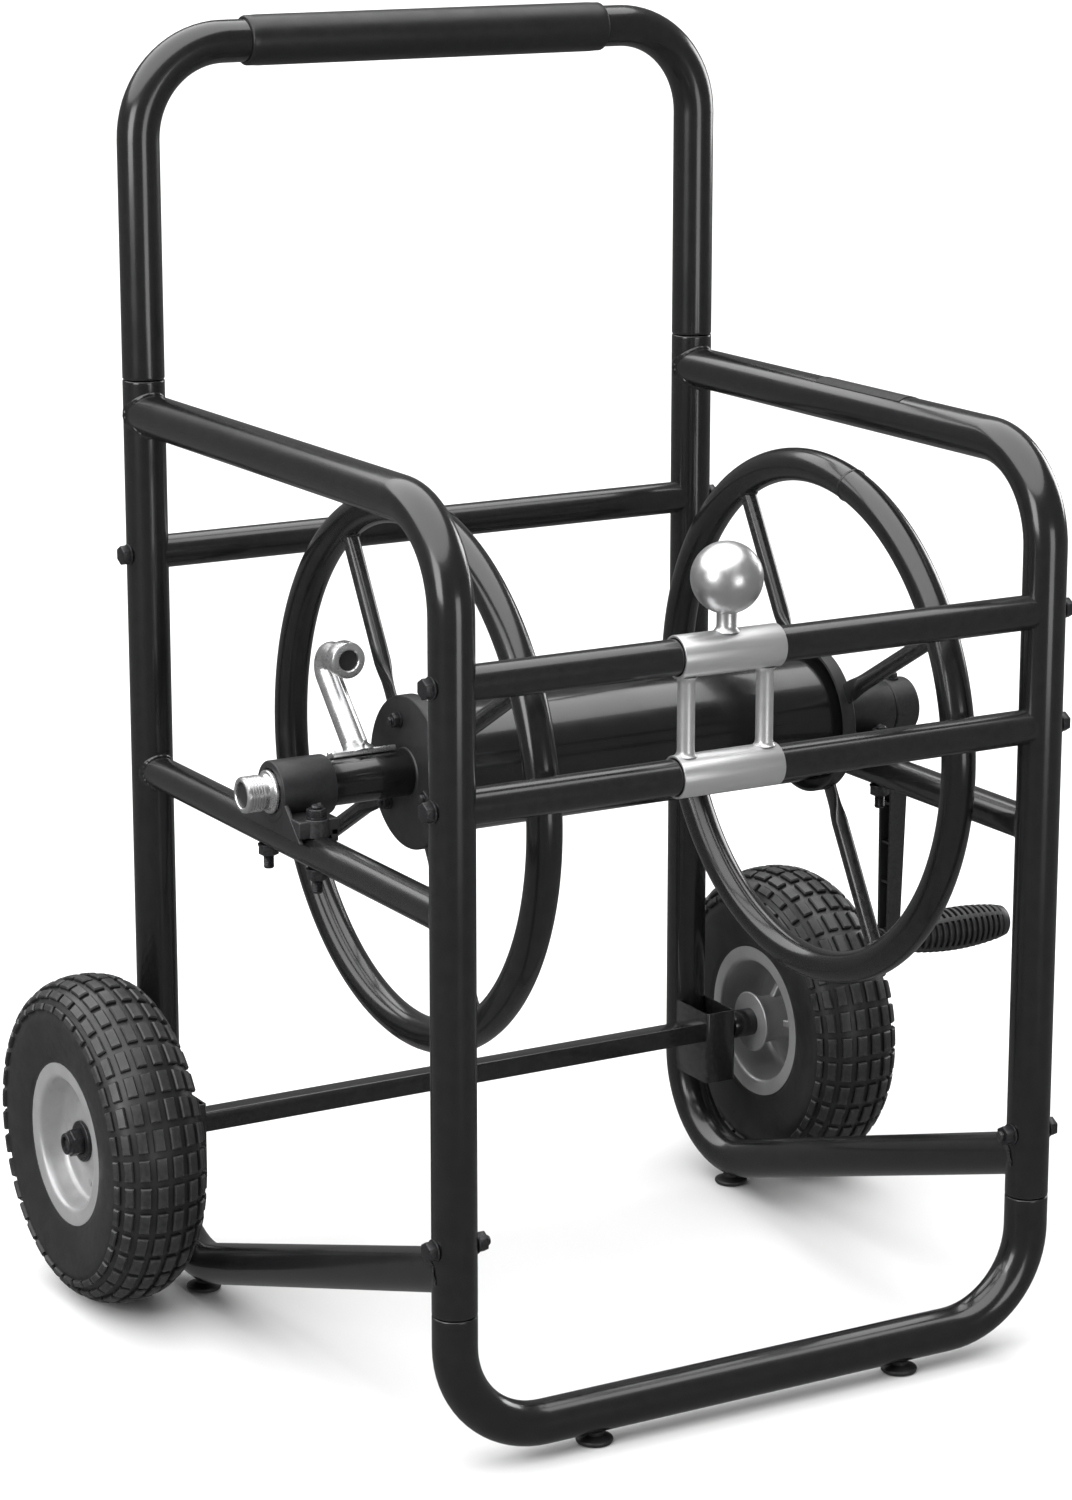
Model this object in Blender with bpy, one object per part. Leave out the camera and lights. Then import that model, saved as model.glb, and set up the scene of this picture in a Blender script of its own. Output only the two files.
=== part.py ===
"""Garden hose reel cart: a bent tube frame on two wheels, with a cranked hose reel.

+X is the cart's right, +Y its back and +Z is up. The origin lies on the floor in the
middle of the cart's bounding box. Positions along X are worked out from the side posts,
and positions along Y from the front posts. Angles round an X axis start at +Z and
grow towards the front.
"""
import math

import bmesh
import bpy
from mathutils import Matrix, Vector

MM = 0.001
AXIS_X = Vector((1, 0, 0))
AXIS_Y = Vector((0, 1, 0))
AXIS_Z = Vector((0, 0, 1))

# Clearances
GAP = 0.3 * MM
RUNNING_GAP = 0.3 * MM
SLIDING_GAP = 0.7 * MM

# Facets
MAIN_SIDES = 12
BAR_SIDES = 12
BEND_STEPS = 5
RING_STEPS = 24
RING_SIDES = 8
SPOKE_SIDES = 8
WHEEL_STEPS = 20
ROUND_STEPS = 24
TURNED_STEPS = 16
BOLT_STEPS = 12
HOLE_STEPS = 8

# Frame tubes
POST_SPACING = 485 * MM
FRAME_DEPTH = 480 * MM
MAIN_RADIUS = 16 * MM
MAIN_WALL = 1.5 * MM
BAR_RADIUS = 12.7 * MM
BAR_WALL = 1.2 * MM
BEND_RADIUS = 70 * MM
REAR_BEND_RADIUS = 74 * MM
LOWER_BAR_RISE = math.radians(17.75)
HANDLE_HEIGHT = 950 * MM
HANDLE_SEAM_HEIGHT = 702 * MM
HANDLE_SPIGOT = 150 * MM
ARMREST_HEIGHT = 676 * MM
MID_RAIL_HEIGHT = 400 * MM
REAR_BAR_HEIGHT = 569 * MM
UPPER_GUIDE_HEIGHT = 561 * MM
LOWER_GUIDE_HEIGHT = 476.5 * MM
BASE_SEAM_HEIGHT = 118 * MM
BASE_SPIGOT = 68 * MM
BASE_BOLT_HEIGHT = 167 * MM

# Handle grip and feet
GRIP_LENGTH = 309 * MM
GRIP_WALL = 2.7 * MM
GRIP_LIP = 4 * MM
FOOT_HEIGHT = 8 * MM
FOOT_RADIUS = 13.5 * MM
FOOT_NECK_RADIUS = 7 * MM
FOOT_INSET = 112 * MM

# Wheels and axle
WHEEL_RADIUS = 127 * MM
WHEEL_OFFSET = 70 * MM
TYRE_HALF_WIDTH = 36.5 * MM
TYRE_WALL = 5 * MM
RIM_RADIUS = 63 * MM
RIM_HALF_WIDTH = 31 * MM
RIM_LIP_RADIUS = 50.5 * MM
RIM_WALL = 2.5 * MM
BEAD_DEPTH = 7 * MM
HUB_RADIUS = 13 * MM
HUB_COLLAR_RADIUS = 22.5 * MM
HUB_FLANGE_RADIUS = 16 * MM
HUB_INNER_REACH = 35 * MM
HUB_OUTER_REACH = 19 * MM
AXLE_BAR = 16 * MM
SPINDLE_RADIUS = 6 * MM
SPACER_RADIUS = 11.5 * MM
AXLE_NUT_FLATS = 19 * MM
AXLE_NUT_LENGTH = 12 * MM
BRACKET_WIDTH = 28 * MM
BRACKET_PLATE = 2 * MM
BRACKET_REACH = 56.6 * MM
BRACKET_BELOW_AXLE = 44 * MM
BRACKET_ABOVE_AXLE = 16 * MM

# Reel
RING_RADIUS = 195 * MM
LEFT_RING_INSET = 97 * MM
RIGHT_RING_INSET = 39 * MM
RING_FROM_FLANGE_FACE = 4 * MM
SPOKE_RADIUS = 6.35 * MM
SPOKE_ANGLES = tuple(math.radians(angle) for angle in (-30, 60, 150, 240))
SPOKE_FLAT_THICKNESS = 4 * MM
SPOKE_FLAT_WIDTH = 17 * MM
SPOKE_FLAT_LENGTH = 22 * MM
DRUM_RADIUS = 48 * MM
DRUM_WALL = 1.5 * MM
FLANGE_MARGIN = 9 * MM
FLANGE_PLATE = 2.5 * MM
FLANGE_RIM_WIDTH = 11 * MM
PIPE_RADIUS = 16.7 * MM
PIPE_WALL = 3 * MM
PIPE_PLUG = 16 * MM
PIPE_PAST_FLANGE = 10 * MM

# Pillow blocks
BLOCK_LENGTH = 44 * MM
BLOCK_WALL = 5.3 * MM
BLOCK_PLATE = 4 * MM
BLOCK_BASE_LENGTH = 90 * MM
BLOCK_BASE_WIDTH = 33 * MM
BLOCK_BASE_THICKNESS = 11 * MM
BLOCK_SKIRT = 5 * MM
BLOCK_CENTRE_HEIGHT = 24.5 * MM
BLOCK_BOLT_SPREAD = 39 * MM
BLOCK_RIB = 4 * MM
BLOCK_RIB_SHARE = 0.45
BLOCK_NECK_SHARE = 0.93

# Water fittings
INLET_FLANGE_RADIUS = 15.8 * MM
INLET_FLANGE_LENGTH = 3 * MM
INLET_THREAD_RADIUS = 13.3 * MM
INLET_THREAD_LENGTH = 20 * MM
INLET_BORE_RADIUS = 9.5 * MM
INLET_SHANK = 24 * MM
SEAL_SECTION = 1 * MM
SEAL_GROOVE_WIDTH = 3.6 * MM
SEAL_GROOVE_DEPTH = 2.5 * MM
OUTLET_INSET = 61 * MM
OUTLET_LEAN = math.radians(-43)
OUTLET_REACH = 109 * MM
OUTLET_TUBE_RADIUS = 9.25 * MM
OUTLET_RUN = 50 * MM
OUTLET_ELBOW_RADIUS = 11 * MM
OUTLET_COLLAR_RADIUS = 13.5 * MM
OUTLET_COLLAR_LENGTH = 12 * MM
OUTLET_BORE_RADIUS = 6.5 * MM
OUTLET_FIN = 3 * MM
SADDLE_LENGTH = 52 * MM
SADDLE_WALL = 4.5 * MM
SADDLE_HALF_ANGLE = math.radians(50)

# Crank
CRANK_RADIUS = 190 * MM
CRANK_HUB_RADIUS = 22 * MM
CRANK_HUB_LENGTH = 22 * MM
CRANK_HUB_CAP = 4 * MM
CRANK_HUB_EASE = 1.5 * MM
ARM_ROOT_SHARE = 0.7
CHANNEL_TOP_SHARE = 1.25
CHANNEL_END_SHARE = 1.3
CRANK_GRIP_FULLNESS = 0.8
ARM_STANDOFF = 5 * MM
ARM_TOP_SIZE = Vector((17, 18)) * MM
ARM_END_SIZE = Vector((12, 14)) * MM
ARM_BOSS_RADIUS = 10 * MM
ARM_CHANNEL_WALL = 3 * MM
CRANK_GRIP_LENGTH = 97 * MM
CRANK_GRIP_RADIUS = 17.25 * MM
CRANK_GRIP_END_RADIUS = 12 * MM
CRANK_GRIP_STANDOFF = 3 * MM
CRANK_PIN_RADIUS = 4 * MM
CRANK_PIN_HEAD_RADIUS = 7 * MM
CRANK_PIN_HEAD = 4 * MM

# Hose guide
GUIDE_LENGTH = 82 * MM
GUIDE_WALL = 1.7 * MM
GUIDE_INSET = 215 * MM
GUIDE_ROD_RADIUS = 6.2 * MM
GUIDE_ROD_SPREAD = 32 * MM
KNOB_RADIUS = 25.25 * MM
KNOB_NECK_RADIUS = 7 * MM
KNOB_NECK_LENGTH = 11 * MM

# Bolts
BOLT_RADIUS = 4 * MM
BOLT_FLATS = 13 * MM
BOLT_HEAD = 5.5 * MM
BOLT_NUT = 6.5 * MM
BLOCK_BOLT_TAIL = 12 * MM
BASE_BOLT_TAIL = 4 * MM

# Sizes that follow from the ones above
MAIN_BORE = MAIN_RADIUS - MAIN_WALL
SPIGOT_RADIUS = MAIN_BORE - GAP
LOW_TUBE_HEIGHT = FOOT_HEIGHT + MAIN_RADIUS
BRACKET_FACE = FRAME_DEPTH - BRACKET_REACH
BLOCK_START = -(BAR_RADIUS + GAP + BLOCK_PLATE)
BLOCK_END = BLOCK_START + BLOCK_LENGTH
REEL_HEIGHT = MID_RAIL_HEIGHT + BAR_RADIUS + GAP + BLOCK_CENTRE_HEIGHT
FLANGE_RADIUS = DRUM_RADIUS + FLANGE_MARGIN
GUIDE_BORE = BAR_RADIUS + SLIDING_GAP
GUIDE_RADIUS = GUIDE_BORE + GUIDE_WALL
CRANK_ARM_START = BLOCK_END + ARM_STANDOFF
CRANK_GRIP_START = CRANK_ARM_START + ARM_TOP_SIZE.x + CRANK_GRIP_STANDOFF
CRANK_REACH = CRANK_GRIP_START + CRANK_GRIP_LENGTH

# The bounding box runs from the left tyre to the crank grip, and from the knob to the tyres
LEFT_X = ((WHEEL_OFFSET + TYRE_HALF_WIDTH) - (POST_SPACING + CRANK_REACH)) / 2
RIGHT_X = LEFT_X + POST_SPACING
AXLE_DEPTH = BRACKET_FACE + BRACKET_PLATE + GAP + AXLE_BAR / 2
FRONT_Y = (KNOB_RADIUS - (AXLE_DEPTH + WHEEL_RADIUS)) / 2
REAR_Y = FRONT_Y + FRAME_DEPTH
AXLE_Y = FRONT_Y + AXLE_DEPTH
REEL_Y = (FRONT_Y + REAR_Y) / 2
LEFT_RING_X = LEFT_X + LEFT_RING_INSET
RIGHT_RING_X = RIGHT_X - RIGHT_RING_INSET
OUTLET_X = LEFT_X + OUTLET_INSET
GUIDE_X = LEFT_X + GUIDE_INSET
CRANK_GRIP_X = RIGHT_X + CRANK_GRIP_START
CRANK_GRIP_HEIGHT = REEL_HEIGHT - CRANK_RADIUS

POST_X = {"left": LEFT_X, "right": RIGHT_X}
OUTWARD = {"left": -1, "right": 1}
SIDES = ("left", "right")
FLANGE_FACE_X = {
    "left": LEFT_RING_X - RING_FROM_FLANGE_FACE,
    "right": RIGHT_RING_X + RING_FROM_FLANGE_FACE,
}

FINISHES = {
    "frame_black": ((0.018, 0.018, 0.020), 0.0, 0.32),
    "satin_black": ((0.012, 0.012, 0.013), 0.0, 0.50),
    "moulded_black": ((0.030, 0.030, 0.033), 0.0, 0.45),
    "drum_black": ((0.012, 0.012, 0.014), 0.0, 0.22),
    "tyre_rubber": ((0.030, 0.030, 0.032), 0.0, 0.75),
    "rim_silver": ((0.50, 0.50, 0.51), 0.6, 0.40),
    "cast_silver": ((0.80, 0.80, 0.80), 0.9, 0.25),
    "satin_silver": ((0.68, 0.68, 0.69), 0.9, 0.35),
    "dark_steel": ((0.06, 0.06, 0.065), 0.8, 0.35),
    "seal_rubber": ((0.02, 0.02, 0.02), 0.0, 0.70),
}


def clear_scene():
    """Remove every object that the scene starts with."""
    for thing in list(bpy.data.objects):
        bpy.data.objects.remove(thing, do_unlink=True)


def finish_material(finish):
    """The material of a finish, made the first time that it is asked for."""
    material = bpy.data.materials.get(finish)
    if material is None:
        colour, metallic, roughness = FINISHES[finish]
        material = bpy.data.materials.new(finish)
        material.use_nodes = True
        shader = material.node_tree.nodes["Principled BSDF"]
        shader.inputs["Base Color"].default_value = (*colour, 1.0)
        shader.inputs["Metallic"].default_value = metallic
        shader.inputs["Roughness"].default_value = roughness
    return material


def axis_empty(name, point):
    """An empty that marks a joint's axis, which the joint's pieces are parented to."""
    empty = bpy.data.objects.new(name, None)
    empty.empty_display_size = 20 * MM
    empty.location = point
    bpy.context.collection.objects.link(empty)
    return empty


def mesh_object(name, bm):
    """A plain object from a bmesh that was built in the cart's own frame."""
    bmesh.ops.remove_doubles(bm, verts=bm.verts, dist=0.001 * MM)
    bmesh.ops.recalc_face_normals(bm, faces=bm.faces)
    mesh = bpy.data.meshes.new(name)
    bm.to_mesh(mesh)
    bm.free()
    thing = bpy.data.objects.new(name, mesh)
    bpy.context.collection.objects.link(thing)
    return thing


def finish_piece(piece, finish, origin, parent=None):
    """Give a piece its finish and shading, and put its origin at a point or on its joint."""
    pivot = parent.location.copy() if parent else Vector(origin)
    piece.data.transform(Matrix.Translation(-pivot))
    if parent:
        piece.parent = parent
    else:
        piece.location = pivot
    piece.data.materials.clear()
    piece.data.materials.append(finish_material(finish))
    piece.data.shade_smooth()
    piece.data.set_sharp_from_angle(angle=math.radians(35))
    return piece


def combine(body, bm, operation):
    """Cut a bmesh out of a body, or weld it on, and keep the result as the body's mesh."""
    tool = mesh_object(body.name + "_tool", bm)
    modifier = body.modifiers.new("boolean", "BOOLEAN")
    modifier.operation = operation
    modifier.solver = "EXACT"
    modifier.object = tool
    bpy.context.view_layer.update()
    depsgraph = bpy.context.evaluated_depsgraph_get()
    mesh = bpy.data.meshes.new_from_object(body.evaluated_get(depsgraph))
    body.modifiers.remove(modifier)
    body.data = mesh
    bpy.data.objects.remove(tool, do_unlink=True)


def cut(body, bm):
    combine(body, bm, "DIFFERENCE")


def weld(body, bm):
    combine(body, bm, "UNION")


def hole_radius(shaft_radius, steps, gap=GAP):
    """Corner radius of a faceted hole whose flats clear a shaft by the gap."""
    return (shaft_radius + gap) / math.cos(math.pi / steps)


def loft(rings, closed=False):
    """Mesh through rings of points; its ends are capped unless it closes on itself."""
    bm = bmesh.new()
    loops = [[bm.verts.new(point) for point in ring] for ring in rings]
    following = loops[1:] + loops[:1] if closed else loops[1:]
    for low, high in zip(loops, following):
        for index, corner in enumerate(low):
            after = (index + 1) % len(low)
            bm.faces.new((corner, low[after], high[after], high[index]))
    if not closed:
        bm.faces.new(loops[0])
        bm.faces.new(loops[-1])
    return bm


def circle(centre, across, along, radius, count, flats=False, phase=0.0):
    """Points round a centre. With flats the radius is that of a hexagon's flat sides."""
    points = []
    for index in range(count):
        angle = phase + 2 * math.pi * index / count
        reach = radius
        if flats:
            reach /= math.cos((angle + math.pi / 6) % (math.pi / 3) - math.pi / 6)
        points.append(centre + across * (reach * math.cos(angle)) + along * (reach * math.sin(angle)))
    return points


def turned(profile, origin, axis, steps, closed=False, phase=0.0):
    """Solid turned round an axis from (distance, radius) points; a third item True makes flats."""
    across = AXIS_Z if abs(axis.z) < 0.5 else AXIS_X
    along = -AXIS_Y if abs(axis.z) < 0.5 else AXIS_Y
    rings = []
    for point in profile:
        distance, radius = point[:2]
        flats = len(point) > 2 and point[2]
        rings.append(circle(origin + axis * distance, across, along, radius, steps, flats, phase))
    return loft(rings, closed)


def box(low, high):
    """Block between two corners."""
    low, high = Vector(low), Vector(high)
    bottom = [Vector((x, y, low.z)) for x, y in
              ((low.x, low.y), (high.x, low.y), (high.x, high.y), (low.x, high.y))]
    return loft([bottom, [point + AXIS_Z * (high.z - low.z) for point in bottom]])


def extruded(outline, start, end):
    """Outline of (y, z) points, extruded along X from start to end."""
    return loft([[Vector((x, y, z)) for y, z in outline] for x in (start, end)])


def bent_path(corners, bend_radius, steps=BEND_STEPS):
    """Centre line through corners, rounded to the bend radius, as (point, tangent) pairs."""
    path = [(corners[0], (corners[1] - corners[0]).normalized())]
    for before, corner, after in zip(corners, corners[1:], corners[2:]):
        incoming = (corner - before).normalized()
        outgoing = (after - corner).normalized()
        turn = incoming.angle(outgoing)
        axis = incoming.cross(outgoing).normalized()
        start = corner - incoming * (bend_radius * math.tan(turn / 2))
        centre = start + axis.cross(incoming) * bend_radius
        for step in range(steps + 1):
            spin = Matrix.Rotation(turn * step / steps, 3, axis)
            path.append((centre + spin @ (start - centre), spin @ incoming))
    path.append((corners[-1], (corners[-1] - corners[-2]).normalized()))
    return path


def coped(ring, direction, target):
    """Slide a ring's points along a direction until they meet the target's round side."""
    centre, axis, radius = target
    flat_direction = direction - axis * direction.dot(axis)
    a = flat_direction.dot(flat_direction)
    moved = []
    for point in ring:
        offset = point - centre
        offset -= axis * offset.dot(axis)
        b = offset.dot(flat_direction)
        c = offset.dot(offset) - radius * radius
        moved.append(point + direction * ((-b - math.sqrt(max(b * b - a * c, 0.0))) / a))
    return moved


def coped_end(ring, direction, target):
    """A solid end's outline, a ring half-way in and its middle, all slid onto the target."""
    middle = sum(ring, Vector()) / len(ring)
    rings = []
    for share in (1, 0.5, 0):
        rings.append(coped([middle.lerp(point, share) for point in ring], direction, target))
    return rings


def swept_rings(path, binormal, radii, sides, start_target=None, end_target=None):
    """Rings of a round section along a path in the plane that the binormal stands on."""
    rings = []
    for (point, tangent), radius in zip(path, radii):
        rings.append(circle(point, binormal, tangent.cross(binormal), radius, sides))
    if start_target:
        rings[0] = coped(rings[0], -path[0][1], start_target)
    if end_target:
        rings[-1] = coped(rings[-1], path[-1][1], end_target)
    return rings


def tube(path, binormal, radius, wall, sides, start_target=None, end_target=None):
    """Open tube along a path, its ends coped to the round sides that they are welded to."""
    count = len(path)
    outside = swept_rings(path, binormal, [radius] * count, sides, start_target, end_target)
    inside = swept_rings(path, binormal, [radius - wall] * count, sides, start_target, end_target)
    return loft(outside + inside[::-1], closed=True)


def post_target(name, depth):
    """The round side of an upright tube, with the gap that a welded end keeps to it."""
    return Vector((POST_X[name], depth, 0)), AXIS_Z, hole_radius(MAIN_RADIUS, MAIN_SIDES)


def spigot_tube(corners, seam_height, binormal):
    """U-shaped tube whose two ends step down to a spigot that goes into the posts.

    The corners run from one spigot's tip to the other's.
    """
    full = bent_path(corners, BEND_RADIUS)
    inward = full[0][1]
    ends = []
    for corner, tangent in (full[0], full[-1]):
        seam = Vector((corner.x, corner.y, seam_height)) + inward * GAP
        ends.append((seam, tangent, seam + inward * MAIN_WALL))
    (first, start, first_inner), (last, end, last_inner) = ends
    bend = full[1:-1]
    outer_path = [full[0], (first, start), (first, start), *bend, (last, end), (last, end), full[-1]]
    inner_path = [full[0], (first_inner, start), (first_inner, start), *bend,
                  (last_inner, end), (last_inner, end), full[-1]]
    middle = len(bend) + 2
    spigot_bore = SPIGOT_RADIUS - MAIN_WALL
    outer_radii = [SPIGOT_RADIUS] * 2 + [MAIN_RADIUS] * middle + [SPIGOT_RADIUS] * 2
    inner_radii = [spigot_bore] * 2 + [MAIN_BORE] * middle + [spigot_bore] * 2
    outside = swept_rings(outer_path, binormal, outer_radii, MAIN_SIDES)
    inside = swept_rings(inner_path, binormal, inner_radii, MAIN_SIDES)
    return loft(outside + inside[::-1], closed=True)


def make_handle():
    """Push handle with spigots down into the rear posts, and its sleeve grip."""
    tip = HANDLE_SEAM_HEIGHT - HANDLE_SPIGOT
    corners = [
        Vector((LEFT_X, REAR_Y, tip)),
        Vector((LEFT_X, REAR_Y, HANDLE_HEIGHT)),
        Vector((RIGHT_X, REAR_Y, HANDLE_HEIGHT)),
        Vector((RIGHT_X, REAR_Y, tip)),
    ]
    handle = mesh_object("handle_tube", spigot_tube(corners, HANDLE_SEAM_HEIGHT, AXIS_Y))
    finish_piece(handle, "frame_black", (0, REAR_Y, HANDLE_SEAM_HEIGHT))

    bore = MAIN_RADIUS + GAP
    outer = bore + GRIP_WALL
    half = GRIP_LENGTH / 2
    profile = [(-half, bore), (-half, outer - GRIP_LIP / 4), (-half + GRIP_LIP, outer),
               (half - GRIP_LIP, outer), (half, outer - GRIP_LIP / 4), (half, bore)]
    middle = Vector(((LEFT_X + RIGHT_X) / 2, REAR_Y, HANDLE_HEIGHT))
    grip = mesh_object("handle_grip", turned(profile, middle, AXIS_X, MAIN_SIDES, closed=True))
    finish_piece(grip, "satin_black", middle)


def make_side(name):
    """One side of the frame: rear post with lower bar, front post with armrest, mid rail."""
    x = POST_X[name]
    turn = math.pi / 2 + LOWER_BAR_RISE
    corner_height = LOW_TUBE_HEIGHT + REAR_BEND_RADIUS * (1 - math.tan(turn / 2))
    meeting_height = corner_height + FRAME_DEPTH * math.tan(LOWER_BAR_RISE)
    rear_corners = [
        Vector((x, REAR_Y, HANDLE_SEAM_HEIGHT)),
        Vector((x, REAR_Y, corner_height)),
        Vector((x, FRONT_Y, meeting_height)),
    ]
    rear_path = bent_path(rear_corners, REAR_BEND_RADIUS, BEND_STEPS + 1)
    front_target = post_target(name, FRONT_Y)
    rear_target = post_target(name, REAR_Y)
    rear = mesh_object("rear_post_" + name, tube(rear_path, AXIS_X, MAIN_RADIUS, MAIN_WALL, MAIN_SIDES,
                                                 end_target=front_target))
    finish_piece(rear, "frame_black", (x, REAR_Y, 0))

    front_corners = [
        Vector((x, REAR_Y, ARMREST_HEIGHT)),
        Vector((x, FRONT_Y, ARMREST_HEIGHT)),
        Vector((x, FRONT_Y, BASE_SEAM_HEIGHT)),
    ]
    front_path = bent_path(front_corners, BEND_RADIUS)
    front = mesh_object("front_post_" + name, tube(front_path, AXIS_X, MAIN_RADIUS, MAIN_WALL, MAIN_SIDES,
                                                   start_target=rear_target))
    cut(front, base_bolt_hole(x))
    finish_piece(front, "frame_black", (x, FRONT_Y, 0))

    rail_ends = Vector((x, REAR_Y, MID_RAIL_HEIGHT)), Vector((x, FRONT_Y, MID_RAIL_HEIGHT))
    rail_path = [(end, -AXIS_Y) for end in rail_ends]
    rail = mesh_object("mid_rail_" + name, tube(rail_path, AXIS_X, BAR_RADIUS, BAR_WALL, BAR_SIDES,
                                                rear_target, front_target))
    for y in block_bolt_depths():
        cut(rail, bolt_hole(Vector((x, y, MID_RAIL_HEIGHT)), AXIS_Z, BAR_RADIUS + GAP))
    finish_piece(rail, "frame_black", (x, REEL_Y, MID_RAIL_HEIGHT))


def bolt_hole(centre, axis, half_length):
    """Clearance hole for a bolt through a tube, reaching past both of its walls."""
    radius = hole_radius(BOLT_RADIUS, HOLE_STEPS)
    reach = half_length + BOLT_RADIUS
    return turned([(-reach, radius), (reach, radius)], centre, axis, HOLE_STEPS)


def base_bolt_hole(x):
    return bolt_hole(Vector((x, FRONT_Y, BASE_BOLT_HEIGHT)), AXIS_X, MAIN_RADIUS)


def block_bolt_depths():
    return (REEL_Y - BLOCK_BOLT_SPREAD, REEL_Y + BLOCK_BOLT_SPREAD)


def make_front_base():
    """U-shaped tube under the front posts, with spigots up into them."""
    tip = BASE_SEAM_HEIGHT + BASE_SPIGOT
    corners = [
        Vector((LEFT_X, FRONT_Y, tip)),
        Vector((LEFT_X, FRONT_Y, LOW_TUBE_HEIGHT)),
        Vector((RIGHT_X, FRONT_Y, LOW_TUBE_HEIGHT)),
        Vector((RIGHT_X, FRONT_Y, tip)),
    ]
    base = mesh_object("front_base_tube", spigot_tube(corners, BASE_SEAM_HEIGHT, AXIS_Y))
    for x in POST_X.values():
        cut(base, base_bolt_hole(x))
    finish_piece(base, "frame_black", (0, FRONT_Y, LOW_TUBE_HEIGHT))


def make_cross_bars():
    """The rear cross bar and the two bars that the hose guide slides on."""
    bars = (
        ("rear_cross_bar", REAR_Y, REAR_BAR_HEIGHT),
        ("guide_bar_upper", FRONT_Y, UPPER_GUIDE_HEIGHT),
        ("guide_bar_lower", FRONT_Y, LOWER_GUIDE_HEIGHT),
    )
    for name, y, height in bars:
        path = [(Vector((LEFT_X, y, height)), AXIS_X), (Vector((RIGHT_X, y, height)), AXIS_X)]
        bar = mesh_object(name, tube(path, AXIS_Y, BAR_RADIUS, BAR_WALL, BAR_SIDES,
                                     post_target("left", y), post_target("right", y)))
        finish_piece(bar, "frame_black", (0, y, height))


def make_foot(name, x, y):
    """Mushroom foot under a tube, with a rounded head on the floor."""
    top = FOOT_HEIGHT - GAP
    rounding = FOOT_HEIGHT / 4
    profile = [(0, FOOT_RADIUS - rounding), (rounding, FOOT_RADIUS),
               (FOOT_HEIGHT / 2, FOOT_RADIUS - rounding / 2),
               (top - rounding, FOOT_NECK_RADIUS), (top, FOOT_NECK_RADIUS)]
    foot = mesh_object("foot_" + name, turned(profile, Vector((x, y, 0)), AXIS_Z, BOLT_STEPS))
    finish_piece(foot, "moulded_black", (x, y, 0))


def make_feet():
    for name in SIDES:
        x = POST_X[name]
        make_foot("front_" + name, x - OUTWARD[name] * FOOT_INSET, FRONT_Y)
        make_foot("rear_" + name, x, REAR_Y - REAR_BEND_RADIUS)


def make_bracket(name):
    """Folded channel on the front of a rear post, which the square axle goes through."""
    x = POST_X[name]
    half = BRACKET_WIDTH / 2
    inner = half - BRACKET_PLATE
    front = FRONT_Y + BRACKET_FACE
    low = WHEEL_RADIUS - BRACKET_BELOW_AXLE
    high = WHEEL_RADIUS + BRACKET_ABOVE_AXLE
    flat_radius = MAIN_RADIUS * math.cos(math.pi / MAIN_SIDES) + GAP
    back = REAR_Y - math.sqrt(max(flat_radius ** 2 - inner ** 2, 0.0))
    below_bend = LOW_TUBE_HEIGHT + REAR_BEND_RADIUS - low
    if below_bend > 0:
        bend_lead = REAR_BEND_RADIUS - math.sqrt(REAR_BEND_RADIUS ** 2 - below_bend ** 2)
        back = REAR_Y - math.sqrt(max((MAIN_RADIUS + GAP) ** 2 - inner ** 2, 0.0)) - bend_lead
    inner_face = front + BRACKET_PLATE
    outline = [(-half, back), (-half, front), (half, front), (half, back),
               (inner, back), (inner, inner_face), (-inner, inner_face), (-inner, back)]
    bracket = mesh_object("axle_bracket_" + name,
                          loft([[Vector((x + dx, y, z)) for dx, y in outline] for z in (low, high)]))
    clear = AXLE_BAR / 2 + GAP
    cut(bracket, box((x - BRACKET_WIDTH, AXLE_Y - clear + GAP / 3, WHEEL_RADIUS - clear),
                     (x + BRACKET_WIDTH, AXLE_Y + clear, WHEEL_RADIUS + clear)))
    finish_piece(bracket, "frame_black", (x, front, WHEEL_RADIUS))


def make_axle():
    """Square bar through both brackets, with round spindles for the wheels."""
    half = POST_SPACING / 2 + BRACKET_WIDTH / 2
    spindle_end = POST_SPACING / 2 + WHEEL_OFFSET + HUB_OUTER_REACH + AXLE_NUT_LENGTH - 2 * MM
    middle = Vector(((LEFT_X + RIGHT_X) / 2, AXLE_Y, WHEEL_RADIUS))
    axle = mesh_object("wheel_axle", box(middle - Vector((half, AXLE_BAR / 2, AXLE_BAR / 2)),
                                         middle + Vector((half, AXLE_BAR / 2, AXLE_BAR / 2))))
    spindle = [(-spindle_end, SPINDLE_RADIUS), (spindle_end, SPINDLE_RADIUS)]
    weld(axle, turned(spindle, middle, AXIS_X, ROUND_STEPS))
    finish_piece(axle, "frame_black", middle)


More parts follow.
